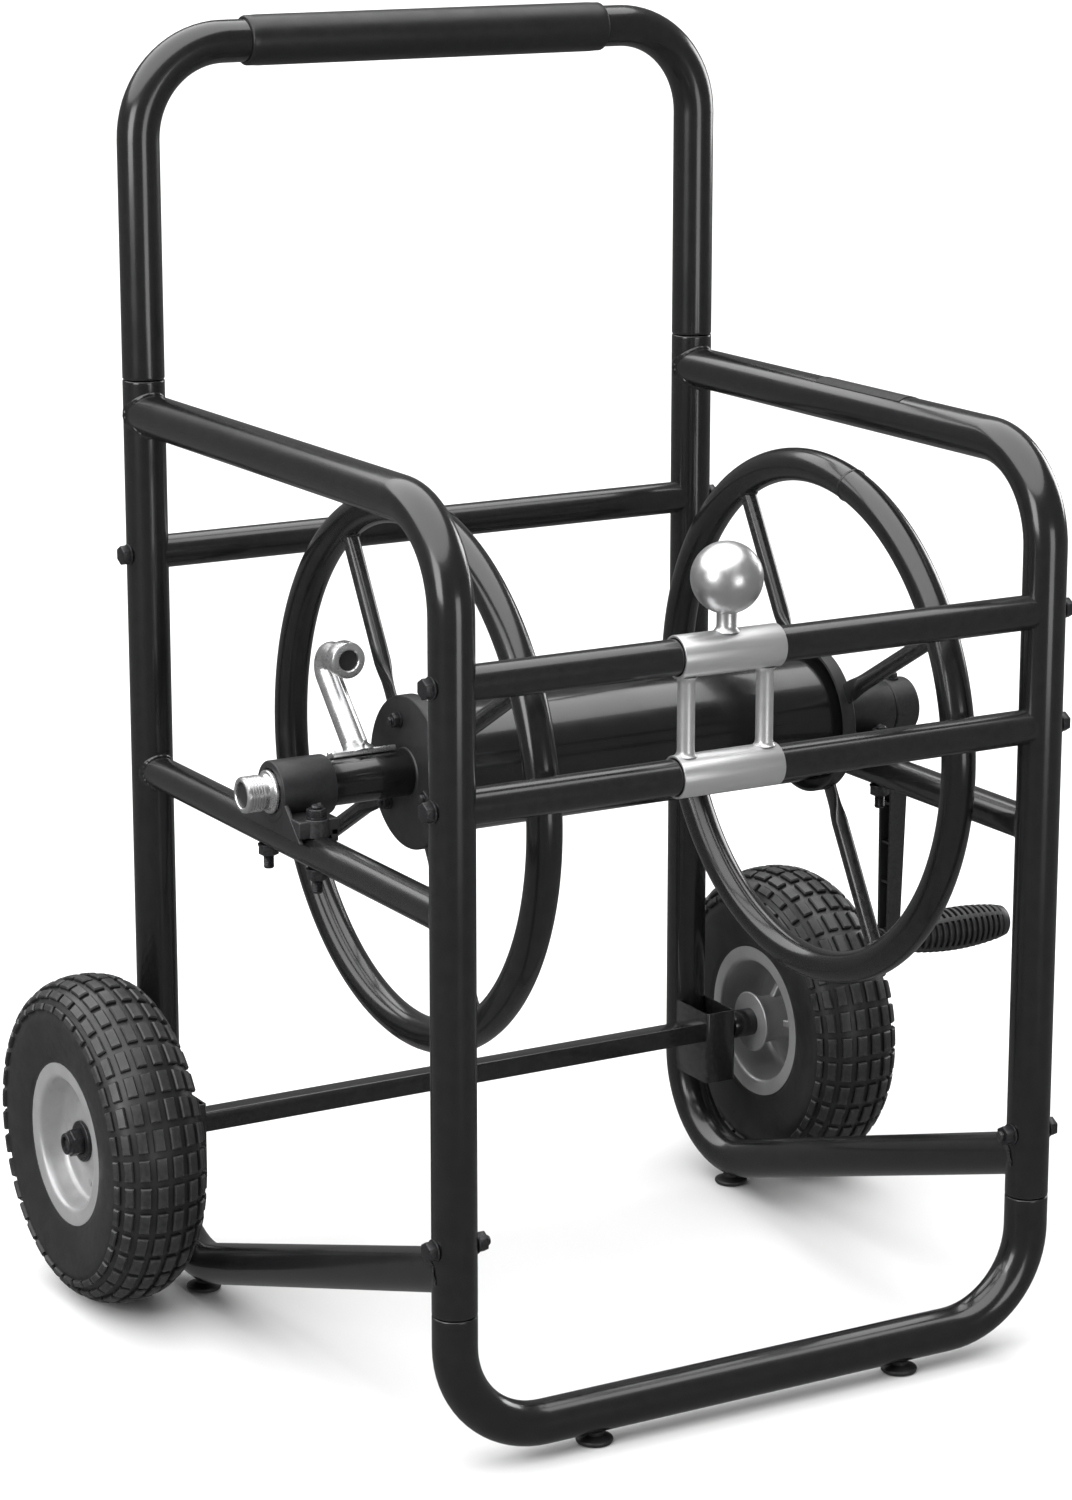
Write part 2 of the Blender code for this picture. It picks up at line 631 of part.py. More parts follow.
def make_wheel(name):
    """Tyre, rim and bearing hub on one joint, with the fixed spacer and nut beside them."""
    outward = AXIS_X * OUTWARD[name]
    centre = Vector((POST_X[name], AXLE_Y, WHEEL_RADIUS)) + outward * WHEEL_OFFSET
    joint = axis_empty("wheel_axis_" + name, centre)

    tyre = mesh_object("tyre_" + name, turned(tyre_profile(), centre, outward, WHEEL_STEPS, closed=True))
    finish_piece(tyre, "tyre_rubber", centre, joint)
    rim = mesh_object("rim_" + name, turned(rim_profile(), centre, outward, WHEEL_STEPS, closed=True))
    finish_piece(rim, "rim_silver", centre, joint)

    bore = hole_radius(SPINDLE_RADIUS, TURNED_STEPS, RUNNING_GAP)
    seat = RIM_WALL + GAP
    profile = [(-HUB_INNER_REACH, bore), (-HUB_INNER_REACH, HUB_COLLAR_RADIUS),
               (-HUB_INNER_REACH + 2 * RIM_WALL, HUB_COLLAR_RADIUS), (-seat - RIM_WALL, HUB_RADIUS),
               (HUB_OUTER_REACH - RIM_WALL, HUB_RADIUS), (HUB_OUTER_REACH - RIM_WALL, HUB_FLANGE_RADIUS),
               (HUB_OUTER_REACH, HUB_FLANGE_RADIUS), (HUB_OUTER_REACH, bore)]
    hub = mesh_object("wheel_hub_" + name, turned(profile, centre, outward, TURNED_STEPS, closed=True))
    finish_piece(hub, "rim_silver", centre, joint)

    tight = hole_radius(SPINDLE_RADIUS, BOLT_STEPS)
    start = BRACKET_WIDTH / 2 + GAP
    end = WHEEL_OFFSET - HUB_INNER_REACH - RUNNING_GAP
    post = Vector((POST_X[name], AXLE_Y, WHEEL_RADIUS))
    spacer = mesh_object("axle_spacer_" + name, turned(
        [(start, tight), (start, SPACER_RADIUS), (end, SPACER_RADIUS), (end, tight)],
        post, outward, TURNED_STEPS, closed=True))
    finish_piece(spacer, "satin_black", post)

    start = HUB_OUTER_REACH + RUNNING_GAP
    flat_end = start + AXLE_NUT_LENGTH * 0.65
    end = start + AXLE_NUT_LENGTH
    flats = AXLE_NUT_FLATS / 2
    collar = flats * 0.9
    nut = mesh_object("axle_nut_" + name, turned(
        [(start, tight), (start, flats, True), (flat_end, flats, True), (flat_end, collar), (end, collar),
         (end, tight)], centre, outward, BOLT_STEPS, closed=True))
    finish_piece(nut, "dark_steel", centre)


def mirrored(half_profile):
    """A closed section from its outward half, which runs from the middle plane and back to it."""
    return half_profile + [(-x, radius) for x, radius in reversed(half_profile)]


def tyre_profile():
    """Section of the casing: tread, sidewall, bead inside the rim flange, and the air space."""
    height = WHEEL_RADIUS - RIM_RADIUS
    bead_x = RIM_HALF_WIDTH - RIM_WALL - GAP
    bead_radius = RIM_RADIUS - BEAD_DEPTH + GAP
    air_width = TYRE_HALF_WIDTH - TYRE_WALL
    return mirrored([
        (TYRE_HALF_WIDTH * 0.52, WHEEL_RADIUS),
        (TYRE_HALF_WIDTH * 0.90, WHEEL_RADIUS - height * 0.38),
        (TYRE_HALF_WIDTH, WHEEL_RADIUS - height * 0.68),
        (RIM_HALF_WIDTH, RIM_RADIUS + GAP),
        (bead_x, RIM_RADIUS + GAP),
        (bead_x, bead_radius),
        (bead_x - TYRE_WALL, bead_radius),
        (air_width, WHEEL_RADIUS - height * 0.66),
        (air_width * 0.60, WHEEL_RADIUS - TYRE_WALL * 1.8),
    ])


def rim_profile():
    """Section of the rim: two broad flanges, the well between the beads, and a flat web."""
    bead_radius = RIM_RADIUS - BEAD_DEPTH
    well = RIM_LIP_RADIUS + RIM_WALL
    inner = RIM_HALF_WIDTH - RIM_WALL
    half_web = RIM_WALL / 2
    return mirrored([
        (inner - 2 * TYRE_WALL, well),
        (inner, bead_radius),
        (inner, RIM_RADIUS),
        (RIM_HALF_WIDTH, RIM_RADIUS),
        (RIM_HALF_WIDTH, RIM_LIP_RADIUS),
        (half_web, RIM_LIP_RADIUS),
        (half_web, HUB_RADIUS + GAP),
    ])


def make_reel(joint):
    """Rings, spokes, end flanges and drum, all welded up and turning together."""
    for name, x in (("left", LEFT_RING_X), ("right", RIGHT_RING_X)):
        make_ring(name, x, joint)
        for number, angle in enumerate(SPOKE_ANGLES, 1):
            make_spoke(f"spoke_{name}_{number}", x, angle, joint)
        make_flange(name, joint)

    half = (FLANGE_FACE_X["right"] - FLANGE_FACE_X["left"]) / 2 - FLANGE_PLATE - GAP
    middle = Vector(((FLANGE_FACE_X["left"] + FLANGE_FACE_X["right"]) / 2, REEL_Y, REEL_HEIGHT))
    bore = DRUM_RADIUS - DRUM_WALL
    drum = mesh_object("reel_drum", turned(
        [(-half, bore), (-half, DRUM_RADIUS), (half, DRUM_RADIUS), (half, bore)],
        middle, AXIS_X, ROUND_STEPS, closed=True))
    finish_piece(drum, "drum_black", middle, joint)


def reel_direction(angle):
    """Unit vector away from the reel's axis, at an angle from the top towards the front."""
    return AXIS_Z * math.cos(angle) - AXIS_Y * math.sin(angle)


def make_ring(name, x, joint):
    """Tube rolled to a ring, butted where its ends meet; spokes meet it between two corners."""
    centre = Vector((x, REEL_Y, REEL_HEIGHT))
    step = 2 * math.pi / RING_STEPS
    start = SPOKE_ANGLES[0] + step / 2
    path = []
    for index in range(RING_STEPS + 1):
        outward = reel_direction(start + index * step)
        tangent = outward.cross(AXIS_X)
        path.append((centre + outward * RING_RADIUS, tangent))
    first, last = path[0], path[-1]
    path[0] = (first[0] - first[1] * (GAP / 2), first[1])
    path[-1] = (last[0] + last[1] * (GAP / 2), last[1])
    ring = mesh_object("reel_ring_" + name, tube(path, AXIS_X, BAR_RADIUS, BAR_WALL, RING_SIDES))
    finish_piece(ring, "frame_black", centre, joint)


def make_spoke(name, x, angle, joint):
    """Round spoke from the ring's inside to the end flange, pinched flat at the flange."""
    centre = Vector((x, REEL_Y, REEL_HEIGHT))
    outward = reel_direction(angle)
    tangent = outward.cross(AXIS_X)
    ring_middle = RING_RADIUS * math.cos(math.pi / RING_STEPS)
    flat_start = FLANGE_RADIUS + GAP
    sections = (
        (flat_start, SPOKE_FLAT_THICKNESS / 2, SPOKE_FLAT_WIDTH / 2),
        (flat_start + SPOKE_FLAT_LENGTH * 0.3, SPOKE_FLAT_THICKNESS / 2, SPOKE_FLAT_WIDTH / 2),
        (flat_start + SPOKE_FLAT_LENGTH, SPOKE_RADIUS, SPOKE_RADIUS),
        (ring_middle, SPOKE_RADIUS, SPOKE_RADIUS),
    )
    rings = []
    for distance, half_thickness, half_width in sections:
        across, along = AXIS_X * half_thickness, tangent * half_width
        points = circle(centre + outward * distance, across, along, 1, SPOKE_SIDES)
        rings.append(points)
    flange_round = centre, AXIS_X, FLANGE_RADIUS + GAP
    ring_tube = centre + outward * ring_middle, tangent, BAR_RADIUS + GAP
    flange_end = coped_end(rings[0], -outward, flange_round)
    ring_end = coped_end([point - outward * 2 * BAR_RADIUS for point in rings[-1]], outward, ring_tube)
    spoke = mesh_object(name, loft(flange_end[::-1] + rings[1:-1] + ring_end))
    finish_piece(spoke, "frame_black", centre, joint)


def make_flange(name, joint):
    """Pressed end cup of the drum, its plate outside and its rim towards the other flange."""
    face = Vector((FLANGE_FACE_X[name], REEL_Y, REEL_HEIGHT))
    inward = AXIS_X * -OUTWARD[name]
    bore = PIPE_RADIUS + GAP
    rim_bore = FLANGE_RADIUS - FLANGE_PLATE
    profile = [(0, bore), (0, FLANGE_RADIUS), (FLANGE_RIM_WIDTH, FLANGE_RADIUS), (FLANGE_RIM_WIDTH, rim_bore),
               (FLANGE_PLATE, rim_bore), (FLANGE_PLATE, bore)]
    flange = mesh_object("end_flange_" + name, turned(profile, face, inward, ROUND_STEPS, closed=True))
    finish_piece(flange, "frame_black", face, joint)


def make_reel_pipes(joint):
    """The water pipe in the left block, plugged in the drum, and the drive stub on the right."""
    start = LEFT_X + BLOCK_START + BLOCK_PLATE / 4
    end = FLANGE_FACE_X["left"] + PIPE_PAST_FLANGE
    bore = PIPE_RADIUS - PIPE_WALL
    origin = Vector((0, REEL_Y, REEL_HEIGHT))
    profile = [(start, bore), (start, PIPE_RADIUS), (end, PIPE_RADIUS), (end, 0),
               (end - PIPE_PLUG, 0), (end - PIPE_PLUG, bore)]
    pipe = mesh_object("water_pipe", turned(profile, origin, AXIS_X, ROUND_STEPS, closed=True))
    outlet = origin + AXIS_X * OUTLET_X
    cut(pipe, drilled(outlet, reel_direction(OUTLET_LEAN), bore / 2, PIPE_RADIUS * 1.2, OUTLET_BORE_RADIUS))
    finish_piece(pipe, "drum_black", origin, joint)

    start = FLANGE_FACE_X["right"] - PIPE_PAST_FLANGE
    end = RIGHT_X + BLOCK_END + CRANK_HUB_LENGTH - CRANK_HUB_CAP - GAP
    profile = [(start, bore), (start, PIPE_RADIUS), (end, PIPE_RADIUS), (end, bore)]
    stub = mesh_object("drive_stub", turned(profile, origin, AXIS_X, ROUND_STEPS, closed=True))
    finish_piece(stub, "drum_black", origin, joint)


def drilled(origin, direction, start, end, radius):
    """Round cutter from one distance to another along a direction in the YZ plane."""
    across = direction.cross(AXIS_X)
    return loft([circle(origin + direction * distance, AXIS_X, across, radius, HOLE_STEPS)
                 for distance in (start, end)])


def make_outlet(joint):
    """Cast gooseneck that leads the water from the pipe's back to a hose thread."""
    axis_point = Vector((OUTLET_X, REEL_Y, REEL_HEIGHT))
    lean = reel_direction(OUTLET_LEAN)
    elbow = axis_point + lean * OUTLET_REACH
    mouth = elbow - AXIS_Y * OUTLET_RUN
    saddle_bore = PIPE_RADIUS + GAP
    saddle_radius = saddle_bore + SADDLE_WALL
    corners = [axis_point + lean * (saddle_bore + SADDLE_WALL / 3), elbow, mouth]
    path = bent_path(corners, OUTLET_ELBOW_RADIUS)
    radii = [OUTLET_TUBE_RADIUS] * len(path)
    outlet = mesh_object("outlet_gooseneck", loft(swept_rings(path, AXIS_X, radii, RING_SIDES + 2)))

    arc = [OUTLET_LEAN + SADDLE_HALF_ANGLE * share for share in (-1, -0.6, -0.2, 0.2, 0.6, 1)]
    outline = [axis_point + reel_direction(angle) * saddle_radius for angle in arc]
    outline += [axis_point + reel_direction(angle) * saddle_bore / math.cos(SADDLE_HALF_ANGLE * 0.2)
                for angle in reversed(arc)]
    start, end = OUTLET_X - SADDLE_LENGTH / 2, OUTLET_X + SADDLE_LENGTH / 2
    weld(outlet, extruded([(point.y, point.z) for point in outline], start, end))

    below = lean.cross(AXIS_X)
    fin_low = axis_point + lean * (saddle_radius - SADDLE_WALL / 2)
    fin_high = elbow - lean * OUTLET_TUBE_RADIUS
    fin_reach = OUTLET_TUBE_RADIUS * 2
    fin = [fin_low, fin_low - below * fin_reach, fin_high - below * fin_reach, fin_high]
    fin_left, fin_right = OUTLET_X - OUTLET_FIN / 2, OUTLET_X + OUTLET_FIN / 2
    weld(outlet, extruded([(point.y, point.z) for point in fin], fin_left, fin_right))

    collar = [(0, OUTLET_COLLAR_RADIUS - 1 * MM), (1 * MM, OUTLET_COLLAR_RADIUS),
              (OUTLET_COLLAR_LENGTH, OUTLET_COLLAR_RADIUS),
              (OUTLET_COLLAR_LENGTH + 2 * MM, OUTLET_TUBE_RADIUS / 2)]
    rings = [circle(mouth + AXIS_Y * (distance - 1 * MM), AXIS_X, AXIS_Z, radius, BOLT_STEPS)
             for distance, radius in collar]
    weld(outlet, loft(rings))
    bore_corners = [axis_point + lean * PIPE_RADIUS * 0.8, elbow, mouth - AXIS_Y * OUTLET_COLLAR_LENGTH]
    bore_path = bent_path(bore_corners, OUTLET_ELBOW_RADIUS)
    cut(outlet, loft(swept_rings(bore_path, AXIS_X, [OUTLET_BORE_RADIUS] * len(bore_path), RING_SIDES)))
    finish_piece(outlet, "cast_silver", axis_point, joint)


def make_inlet(joint):
    """Swivel inlet with a hose thread, its shank sealed inside the water pipe by a ring."""
    face = Vector((LEFT_X + BLOCK_START - GAP, REEL_Y, REEL_HEIGHT))
    flange_end = INLET_FLANGE_LENGTH
    thread_end = flange_end + INLET_THREAD_LENGTH
    shank_radius = PIPE_RADIUS - PIPE_WALL - RUNNING_GAP - 0.2 * MM
    groove_radius = shank_radius - SEAL_GROOVE_DEPTH
    groove_start = -INLET_SHANK / 2
    chamfer = 1 * MM
    profile = [
        (thread_end, INLET_BORE_RADIUS), (thread_end, INLET_THREAD_RADIUS - chamfer),
        (thread_end - chamfer, INLET_THREAD_RADIUS), (flange_end, INLET_THREAD_RADIUS),
        (flange_end, INLET_FLANGE_RADIUS), (0, INLET_FLANGE_RADIUS), (0, shank_radius),
        (groove_start, shank_radius), (groove_start, groove_radius),
        (groove_start - SEAL_GROOVE_WIDTH, groove_radius), (groove_start - SEAL_GROOVE_WIDTH, shank_radius),
        (-INLET_SHANK, shank_radius), (-INLET_SHANK, INLET_BORE_RADIUS),
    ]
    inlet = mesh_object("inlet_swivel", turned(profile, face, -AXIS_X, TURNED_STEPS, closed=True))
    finish_piece(inlet, "cast_silver", face, joint)

    seal_centre = face - AXIS_X * (groove_start - SEAL_GROOVE_WIDTH / 2)
    seal_radius = shank_radius - SEAL_SECTION - GAP / 2
    profile = [(SEAL_SECTION * math.cos(angle), seal_radius + SEAL_SECTION * math.sin(angle))
               for angle in (index * math.pi / 3 for index in range(6))]
    seal = mesh_object("inlet_seal", turned(profile, seal_centre, AXIS_X, TURNED_STEPS, closed=True))
    finish_piece(seal, "seal_rubber", face, joint)


def make_block(name):
    """Moulded bearing block, bolted down on the mid rail; the same moulding on both sides."""
    x = POST_X[name]
    start, end = x + BLOCK_START, x + BLOCK_END
    rail_top = MID_RAIL_HEIGHT + BAR_RADIUS + GAP
    barrel = PIPE_RADIUS + RUNNING_GAP + BLOCK_WALL
    half_base = BLOCK_BASE_LENGTH / 2
    origin = Vector((0, REEL_Y, REEL_HEIGHT))
    round_part = turned([(start, barrel), (end, barrel)], origin, AXIS_X, ROUND_STEPS)
    block = mesh_object("pillow_block_" + name, round_part)

    shoulder = rail_top + BLOCK_BASE_THICKNESS
    skirt, neck, neck_height = rail_top - BLOCK_SKIRT, barrel * BLOCK_NECK_SHARE, REEL_HEIGHT - 3 * MM
    plate = [(-half_base, skirt), (half_base, skirt), (half_base, shoulder),
             (neck, neck_height), (-neck, neck_height), (-half_base, shoulder)]
    weld(block, extruded([(REEL_Y + y, z) for y, z in plate], start + 0.5 * MM, start + BLOCK_PLATE))
    weld(block, box((start + 1 * MM, REEL_Y - half_base + 1 * MM, rail_top),
                    (start + BLOCK_BASE_WIDTH, REEL_Y + half_base - 1 * MM, shoulder - 0.5 * MM)))
    for side in (-1, 1):
        rib_y = REEL_Y + side * barrel * BLOCK_RIB_SHARE
        weld(block, box((start + 2 * MM, rib_y - BLOCK_RIB / 2, rail_top + 2 * MM),
                        (end - 3 * MM, rib_y + BLOCK_RIB / 2, REEL_HEIGHT - barrel / 2)))
    bore = hole_radius(PIPE_RADIUS, ROUND_STEPS, RUNNING_GAP)
    cut(block, turned([(start - 2 * MM, bore), (end + 2 * MM, bore)], origin, AXIS_X, ROUND_STEPS))
    for y in block_bolt_depths():
        hole_middle = Vector((x, y, rail_top + BLOCK_BASE_THICKNESS / 2))
        cut(block, bolt_hole(hole_middle, AXIS_Z, BLOCK_BASE_THICKNESS))
    finish_piece(block, "moulded_black", (x, REEL_Y, REEL_HEIGHT))

    head = shoulder + GAP
    nut = MID_RAIL_HEIGHT - BAR_RADIUS - GAP
    for number, y in enumerate(block_bolt_depths(), 1):
        seat = Vector((x, y, head))
        make_bolt(f"block_bolt_{name}_{number}", seat, -AXIS_Z, head - nut, BLOCK_BOLT_TAIL)


def make_bolt(name, seat, axis, grip, tail):
    """Hex bolt whose head stands on a seat, with its nut run up at the end of the grip."""
    flats = BOLT_FLATS / 2
    profile = [(-BOLT_HEAD, flats, True), (0, flats, True), (0, BOLT_RADIUS),
               (grip, BOLT_RADIUS), (grip, flats, True), (grip + BOLT_NUT, flats, True),
               (grip + BOLT_NUT, BOLT_RADIUS), (grip + BOLT_NUT + tail, BOLT_RADIUS)]
    bolt = mesh_object(name, turned(profile, seat, axis, BOLT_STEPS))
    finish_piece(bolt, "dark_steel", seat)


def make_base_bolts():
    """Bolts that pin the front base tube's spigots into the front posts."""
    for name in SIDES:
        outward = AXIS_X * OUTWARD[name]
        centre = Vector((POST_X[name], FRONT_Y, BASE_BOLT_HEIGHT))
        reach = MAIN_RADIUS + GAP
        make_bolt("base_bolt_" + name, centre + outward * reach, -outward, 2 * reach, BASE_BOLT_TAIL)


def make_crank(joint):
    """Cast crank arm on the drive stub, with the pin that the grip turns on."""
    origin = Vector((RIGHT_X, REEL_Y, REEL_HEIGHT))
    hub_start = BLOCK_END + RUNNING_GAP
    hub_end = BLOCK_END + CRANK_HUB_LENGTH
    hub = [(hub_start, CRANK_HUB_RADIUS), (hub_end - CRANK_HUB_EASE, CRANK_HUB_RADIUS),
           (hub_end, CRANK_HUB_RADIUS - CRANK_HUB_EASE)]
    arm = mesh_object("crank_arm", turned(hub, origin, AXIS_X, ROUND_STEPS))
    left = CRANK_ARM_START
    rings = []
    for height, size in ((-CRANK_HUB_RADIUS * ARM_ROOT_SHARE, ARM_TOP_SIZE), (-CRANK_RADIUS, ARM_END_SIZE)):
        right, half = left + size.x, size.y / 2
        corners = ((left, -half), (right, -half), (right, half), (left, half))
        rings.append([origin + Vector((dx, dy, height)) for dx, dy in corners])
    weld(arm, loft(rings))
    boss_end = left + ARM_END_SIZE.x + 2 * MM
    pin = origin - AXIS_Z * CRANK_RADIUS
    boss = [(left - 1 * MM, ARM_BOSS_RADIUS), (boss_end, ARM_BOSS_RADIUS)]
    weld(arm, turned(boss, pin, AXIS_X, BOLT_STEPS))

    channel = []
    top = -CRANK_HUB_RADIUS * CHANNEL_TOP_SHARE
    bottom = -CRANK_RADIUS + ARM_BOSS_RADIUS * CHANNEL_END_SHARE
    for height, size in ((top, ARM_TOP_SIZE), (bottom, ARM_END_SIZE)):
        half = size.y / 2 - ARM_CHANNEL_WALL
        reach = left + size.x - 2 * ARM_CHANNEL_WALL
        corners = ((left - 5 * MM, -half), (reach, -half), (reach, half), (left - 5 * MM, half))
        channel.append([origin + Vector((dx, dy, height)) for dx, dy in corners])
    cut(arm, loft(channel))
    bore = PIPE_RADIUS + GAP
    socket = [(hub_start - 3 * MM, bore), (hub_end - CRANK_HUB_CAP, bore)]
    cut(arm, turned(socket, origin, AXIS_X, ROUND_STEPS))
    hole = hole_radius(CRANK_PIN_RADIUS, BOLT_STEPS)
    cut(arm, turned([(left - 5 * MM, hole), (boss_end + 5 * MM, hole)], pin, AXIS_X, BOLT_STEPS))
    finish_piece(arm, "moulded_black", origin, joint)

    nut_start = left - 1 * MM - GAP
    head_start = CRANK_REACH - 2 * CRANK_PIN_HEAD
    profile = [(nut_start - BOLT_NUT, CRANK_PIN_RADIUS), (nut_start - BOLT_NUT, BOLT_FLATS / 2, True),
               (nut_start, BOLT_FLATS / 2, True), (nut_start, CRANK_PIN_RADIUS), (head_start, CRANK_PIN_RADIUS),
               (head_start, CRANK_PIN_HEAD_RADIUS), (head_start + CRANK_PIN_HEAD, CRANK_PIN_HEAD_RADIUS)]
    pin_piece = mesh_object("crank_pin", turned(profile, pin, AXIS_X, BOLT_STEPS))
    finish_piece(pin_piece, "dark_steel", pin, joint)


def make_crank_grip(joint):
    """Barrel grip that turns on the crank pin; the pin's head sits in its outer end."""
    start = Vector((CRANK_GRIP_X, REEL_Y, CRANK_GRIP_HEIGHT))
    bore = hole_radius(CRANK_PIN_RADIUS, TURNED_STEPS, RUNNING_GAP)
    head_bore = hole_radius(CRANK_PIN_HEAD_RADIUS, TURNED_STEPS, RUNNING_GAP)
    head_seat = CRANK_GRIP_LENGTH - 2 * CRANK_PIN_HEAD - RUNNING_GAP
    swell = CRANK_GRIP_RADIUS - CRANK_GRIP_END_RADIUS
    barrel = []
    for share in (index / 8 for index in range(9)):
        radius = CRANK_GRIP_END_RADIUS + swell * math.sin(math.pi * share) ** CRANK_GRIP_FULLNESS
        barrel.append((CRANK_GRIP_LENGTH * share, radius))
    profile = [(0, bore), *barrel, (CRANK_GRIP_LENGTH, head_bore),
               (head_seat, head_bore), (head_seat, bore)]
    grip = mesh_object("crank_grip", turned(profile, start, AXIS_X, TURNED_STEPS, closed=True))
    finish_piece(grip, "moulded_black", start, joint)


def make_hose_guide(joint):
    """Two sleeves joined by rods, which slide along the guide bars, with a ball knob on top."""
    half = GUIDE_LENGTH / 2
    sleeve = [(-half, GUIDE_BORE), (-half, GUIDE_RADIUS), (half, GUIDE_RADIUS), (half, GUIDE_BORE)]
    upper = Vector((GUIDE_X, FRONT_Y, UPPER_GUIDE_HEIGHT))
    lower = Vector((GUIDE_X, FRONT_Y, LOWER_GUIDE_HEIGHT))
    guide = mesh_object("hose_guide", turned(sleeve, upper, AXIS_X, MAIN_SIDES, closed=True))
    weld(guide, turned(sleeve, lower, AXIS_X, MAIN_SIDES, closed=True))
    into_wall = GUIDE_BORE + GAP
    for side in (-1, 1):
        foot = lower + AXIS_X * (side * GUIDE_ROD_SPREAD)
        height = UPPER_GUIDE_HEIGHT - LOWER_GUIDE_HEIGHT
        weld(guide, turned([(into_wall, GUIDE_ROD_RADIUS), (height - into_wall, GUIDE_ROD_RADIUS)],
                           foot, AXIS_Z, BOLT_STEPS))
    finish_piece(guide, "satin_silver", upper, joint)

    neck_start = GUIDE_RADIUS + GAP
    ball_height = GUIDE_RADIUS + KNOB_NECK_LENGTH + KNOB_RADIUS
    neck_angle = math.asin(KNOB_NECK_RADIUS / KNOB_RADIUS)
    profile = [(neck_start, KNOB_NECK_RADIUS)]
    turns = 9
    for index in range(turns + 1):
        angle = neck_angle + (math.pi * 0.97 - neck_angle) * index / turns
        profile.append((ball_height - KNOB_RADIUS * math.cos(angle), KNOB_RADIUS * math.sin(angle)))
    profile.append((ball_height + KNOB_RADIUS, 0))
    knob = mesh_object("guide_knob", turned(profile, upper, AXIS_Z, TURNED_STEPS))
    finish_piece(knob, "satin_silver", upper, joint)


def build_cart():
    clear_scene()
    make_handle()
    for name in SIDES:
        make_side(name)
        make_bracket(name)
        make_wheel(name)
        make_block(name)
    make_front_base()
    make_cross_bars()
    make_feet()
    make_axle()
    make_base_bolts()

    reel_axis = axis_empty("reel_axis", Vector((LEFT_RING_X, REEL_Y, REEL_HEIGHT)))
    make_reel(reel_axis)
    make_reel_pipes(reel_axis)
    make_outlet(reel_axis)
    make_crank(reel_axis)
    inlet_axis = axis_empty("inlet_axis", Vector((LEFT_X + BLOCK_START, REEL_Y, REEL_HEIGHT)))
    make_inlet(inlet_axis)
    grip_axis = axis_empty("crank_grip_axis", Vector((CRANK_GRIP_X, REEL_Y, CRANK_GRIP_HEIGHT)))
    make_crank_grip(grip_axis)
    guide_axis = axis_empty("guide_slide_axis", Vector((GUIDE_X, FRONT_Y, UPPER_GUIDE_HEIGHT)))
    make_hose_guide(guide_axis)


build_cart()
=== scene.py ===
"""Looks of the garden hose reel cart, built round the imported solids.

Tubes are rings run straight and spun round their bends, turned pieces are sections spun
on a lathe, and castings and mouldings start as blocks that are shaped and softened.
"""
import math

import bmesh
import bpy
from mathutils import Matrix, Vector


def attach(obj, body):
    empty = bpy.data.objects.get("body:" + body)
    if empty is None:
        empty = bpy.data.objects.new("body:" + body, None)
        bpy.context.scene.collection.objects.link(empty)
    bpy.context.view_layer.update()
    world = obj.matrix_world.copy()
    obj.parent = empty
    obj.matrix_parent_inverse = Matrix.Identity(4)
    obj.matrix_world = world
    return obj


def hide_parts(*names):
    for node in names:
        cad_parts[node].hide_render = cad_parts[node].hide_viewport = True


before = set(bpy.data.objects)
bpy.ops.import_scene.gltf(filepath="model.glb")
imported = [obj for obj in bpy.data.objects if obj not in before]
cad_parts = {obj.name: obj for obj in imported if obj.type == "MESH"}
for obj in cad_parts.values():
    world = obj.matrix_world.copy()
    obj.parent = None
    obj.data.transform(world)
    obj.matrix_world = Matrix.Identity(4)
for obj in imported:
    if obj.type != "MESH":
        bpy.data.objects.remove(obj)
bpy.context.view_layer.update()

MM = 0.001
AXIS_X = Vector((1, 0, 0))
AXIS_Y = Vector((0, 1, 0))
AXIS_Z = Vector((0, 0, 1))
FULL_TURN = 2 * math.pi

# Where the cart's main parts stand
LEFT_X = -263.75 * MM
RIGHT_X = 221.25 * MM
MIDDLE_X = (LEFT_X + RIGHT_X) / 2
FRONT_Y = -267.725 * MM
REAR_Y = 212.275 * MM
AXLE_Y = 165.975 * MM
REEL_Y = -27.725 * MM
REEL_HEIGHT = 437.5 * MM
RING_X = {"left": -166.75 * MM, "right": 182.25 * MM}
FLANGE_FACE_X = {"left": -170.75 * MM, "right": 186.25 * MM}
POST_X = {"left": LEFT_X, "right": RIGHT_X}
OUTWARD = {"left": -1, "right": 1}
SIDES = ("left", "right")

# Tubes
MAIN_RADIUS = 16 * MM
BAR_RADIUS = 12.7 * MM
BEND_RADIUS = 70 * MM
REAR_BEND_RADIUS = 74 * MM
LOWER_BAR_RISE = math.radians(17.75)
HANDLE_HEIGHT = 950 * MM
HANDLE_SEAM = 702 * MM
ARMREST_HEIGHT = 676 * MM
MID_RAIL_HEIGHT = 400 * MM
REAR_BAR_HEIGHT = 569 * MM
UPPER_GUIDE_HEIGHT = 561 * MM
LOWER_GUIDE_HEIGHT = 476.5 * MM
LOW_TUBE_HEIGHT = 24 * MM
BASE_SEAM = 118 * MM
BASE_BOLT_HEIGHT = 167 * MM
SEAM_GAP = 0.4 * MM         # a tube's end stands this far off its seam
TUBE_ROUNDING = 0.9 * MM    # on the ends of the main tubes
BOLT_SINK = 0.6 * MM        # how far a washer sits into a tube's curve
BRACKET_HALF = 14 * MM
BRACKET_FACE = FRONT_Y + 423.4 * MM

# Wheels
WHEEL_RADIUS = 127 * MM
WHEEL_OFFSET = 70 * MM

# Reel
RING_RADIUS = 195 * MM
SPOKE_RADIUS = 6.35 * MM
PIPE_RADIUS = 16.7 * MM
ARM_LEAN = -43              # of the outlet arm, in degrees from the top towards the front
CRANK_RADIUS = 190 * MM
GRIP_START = 52             # mm from the right posts
GRIP_LENGTH = 97            # mm
GUIDE_X = -48.75 * MM

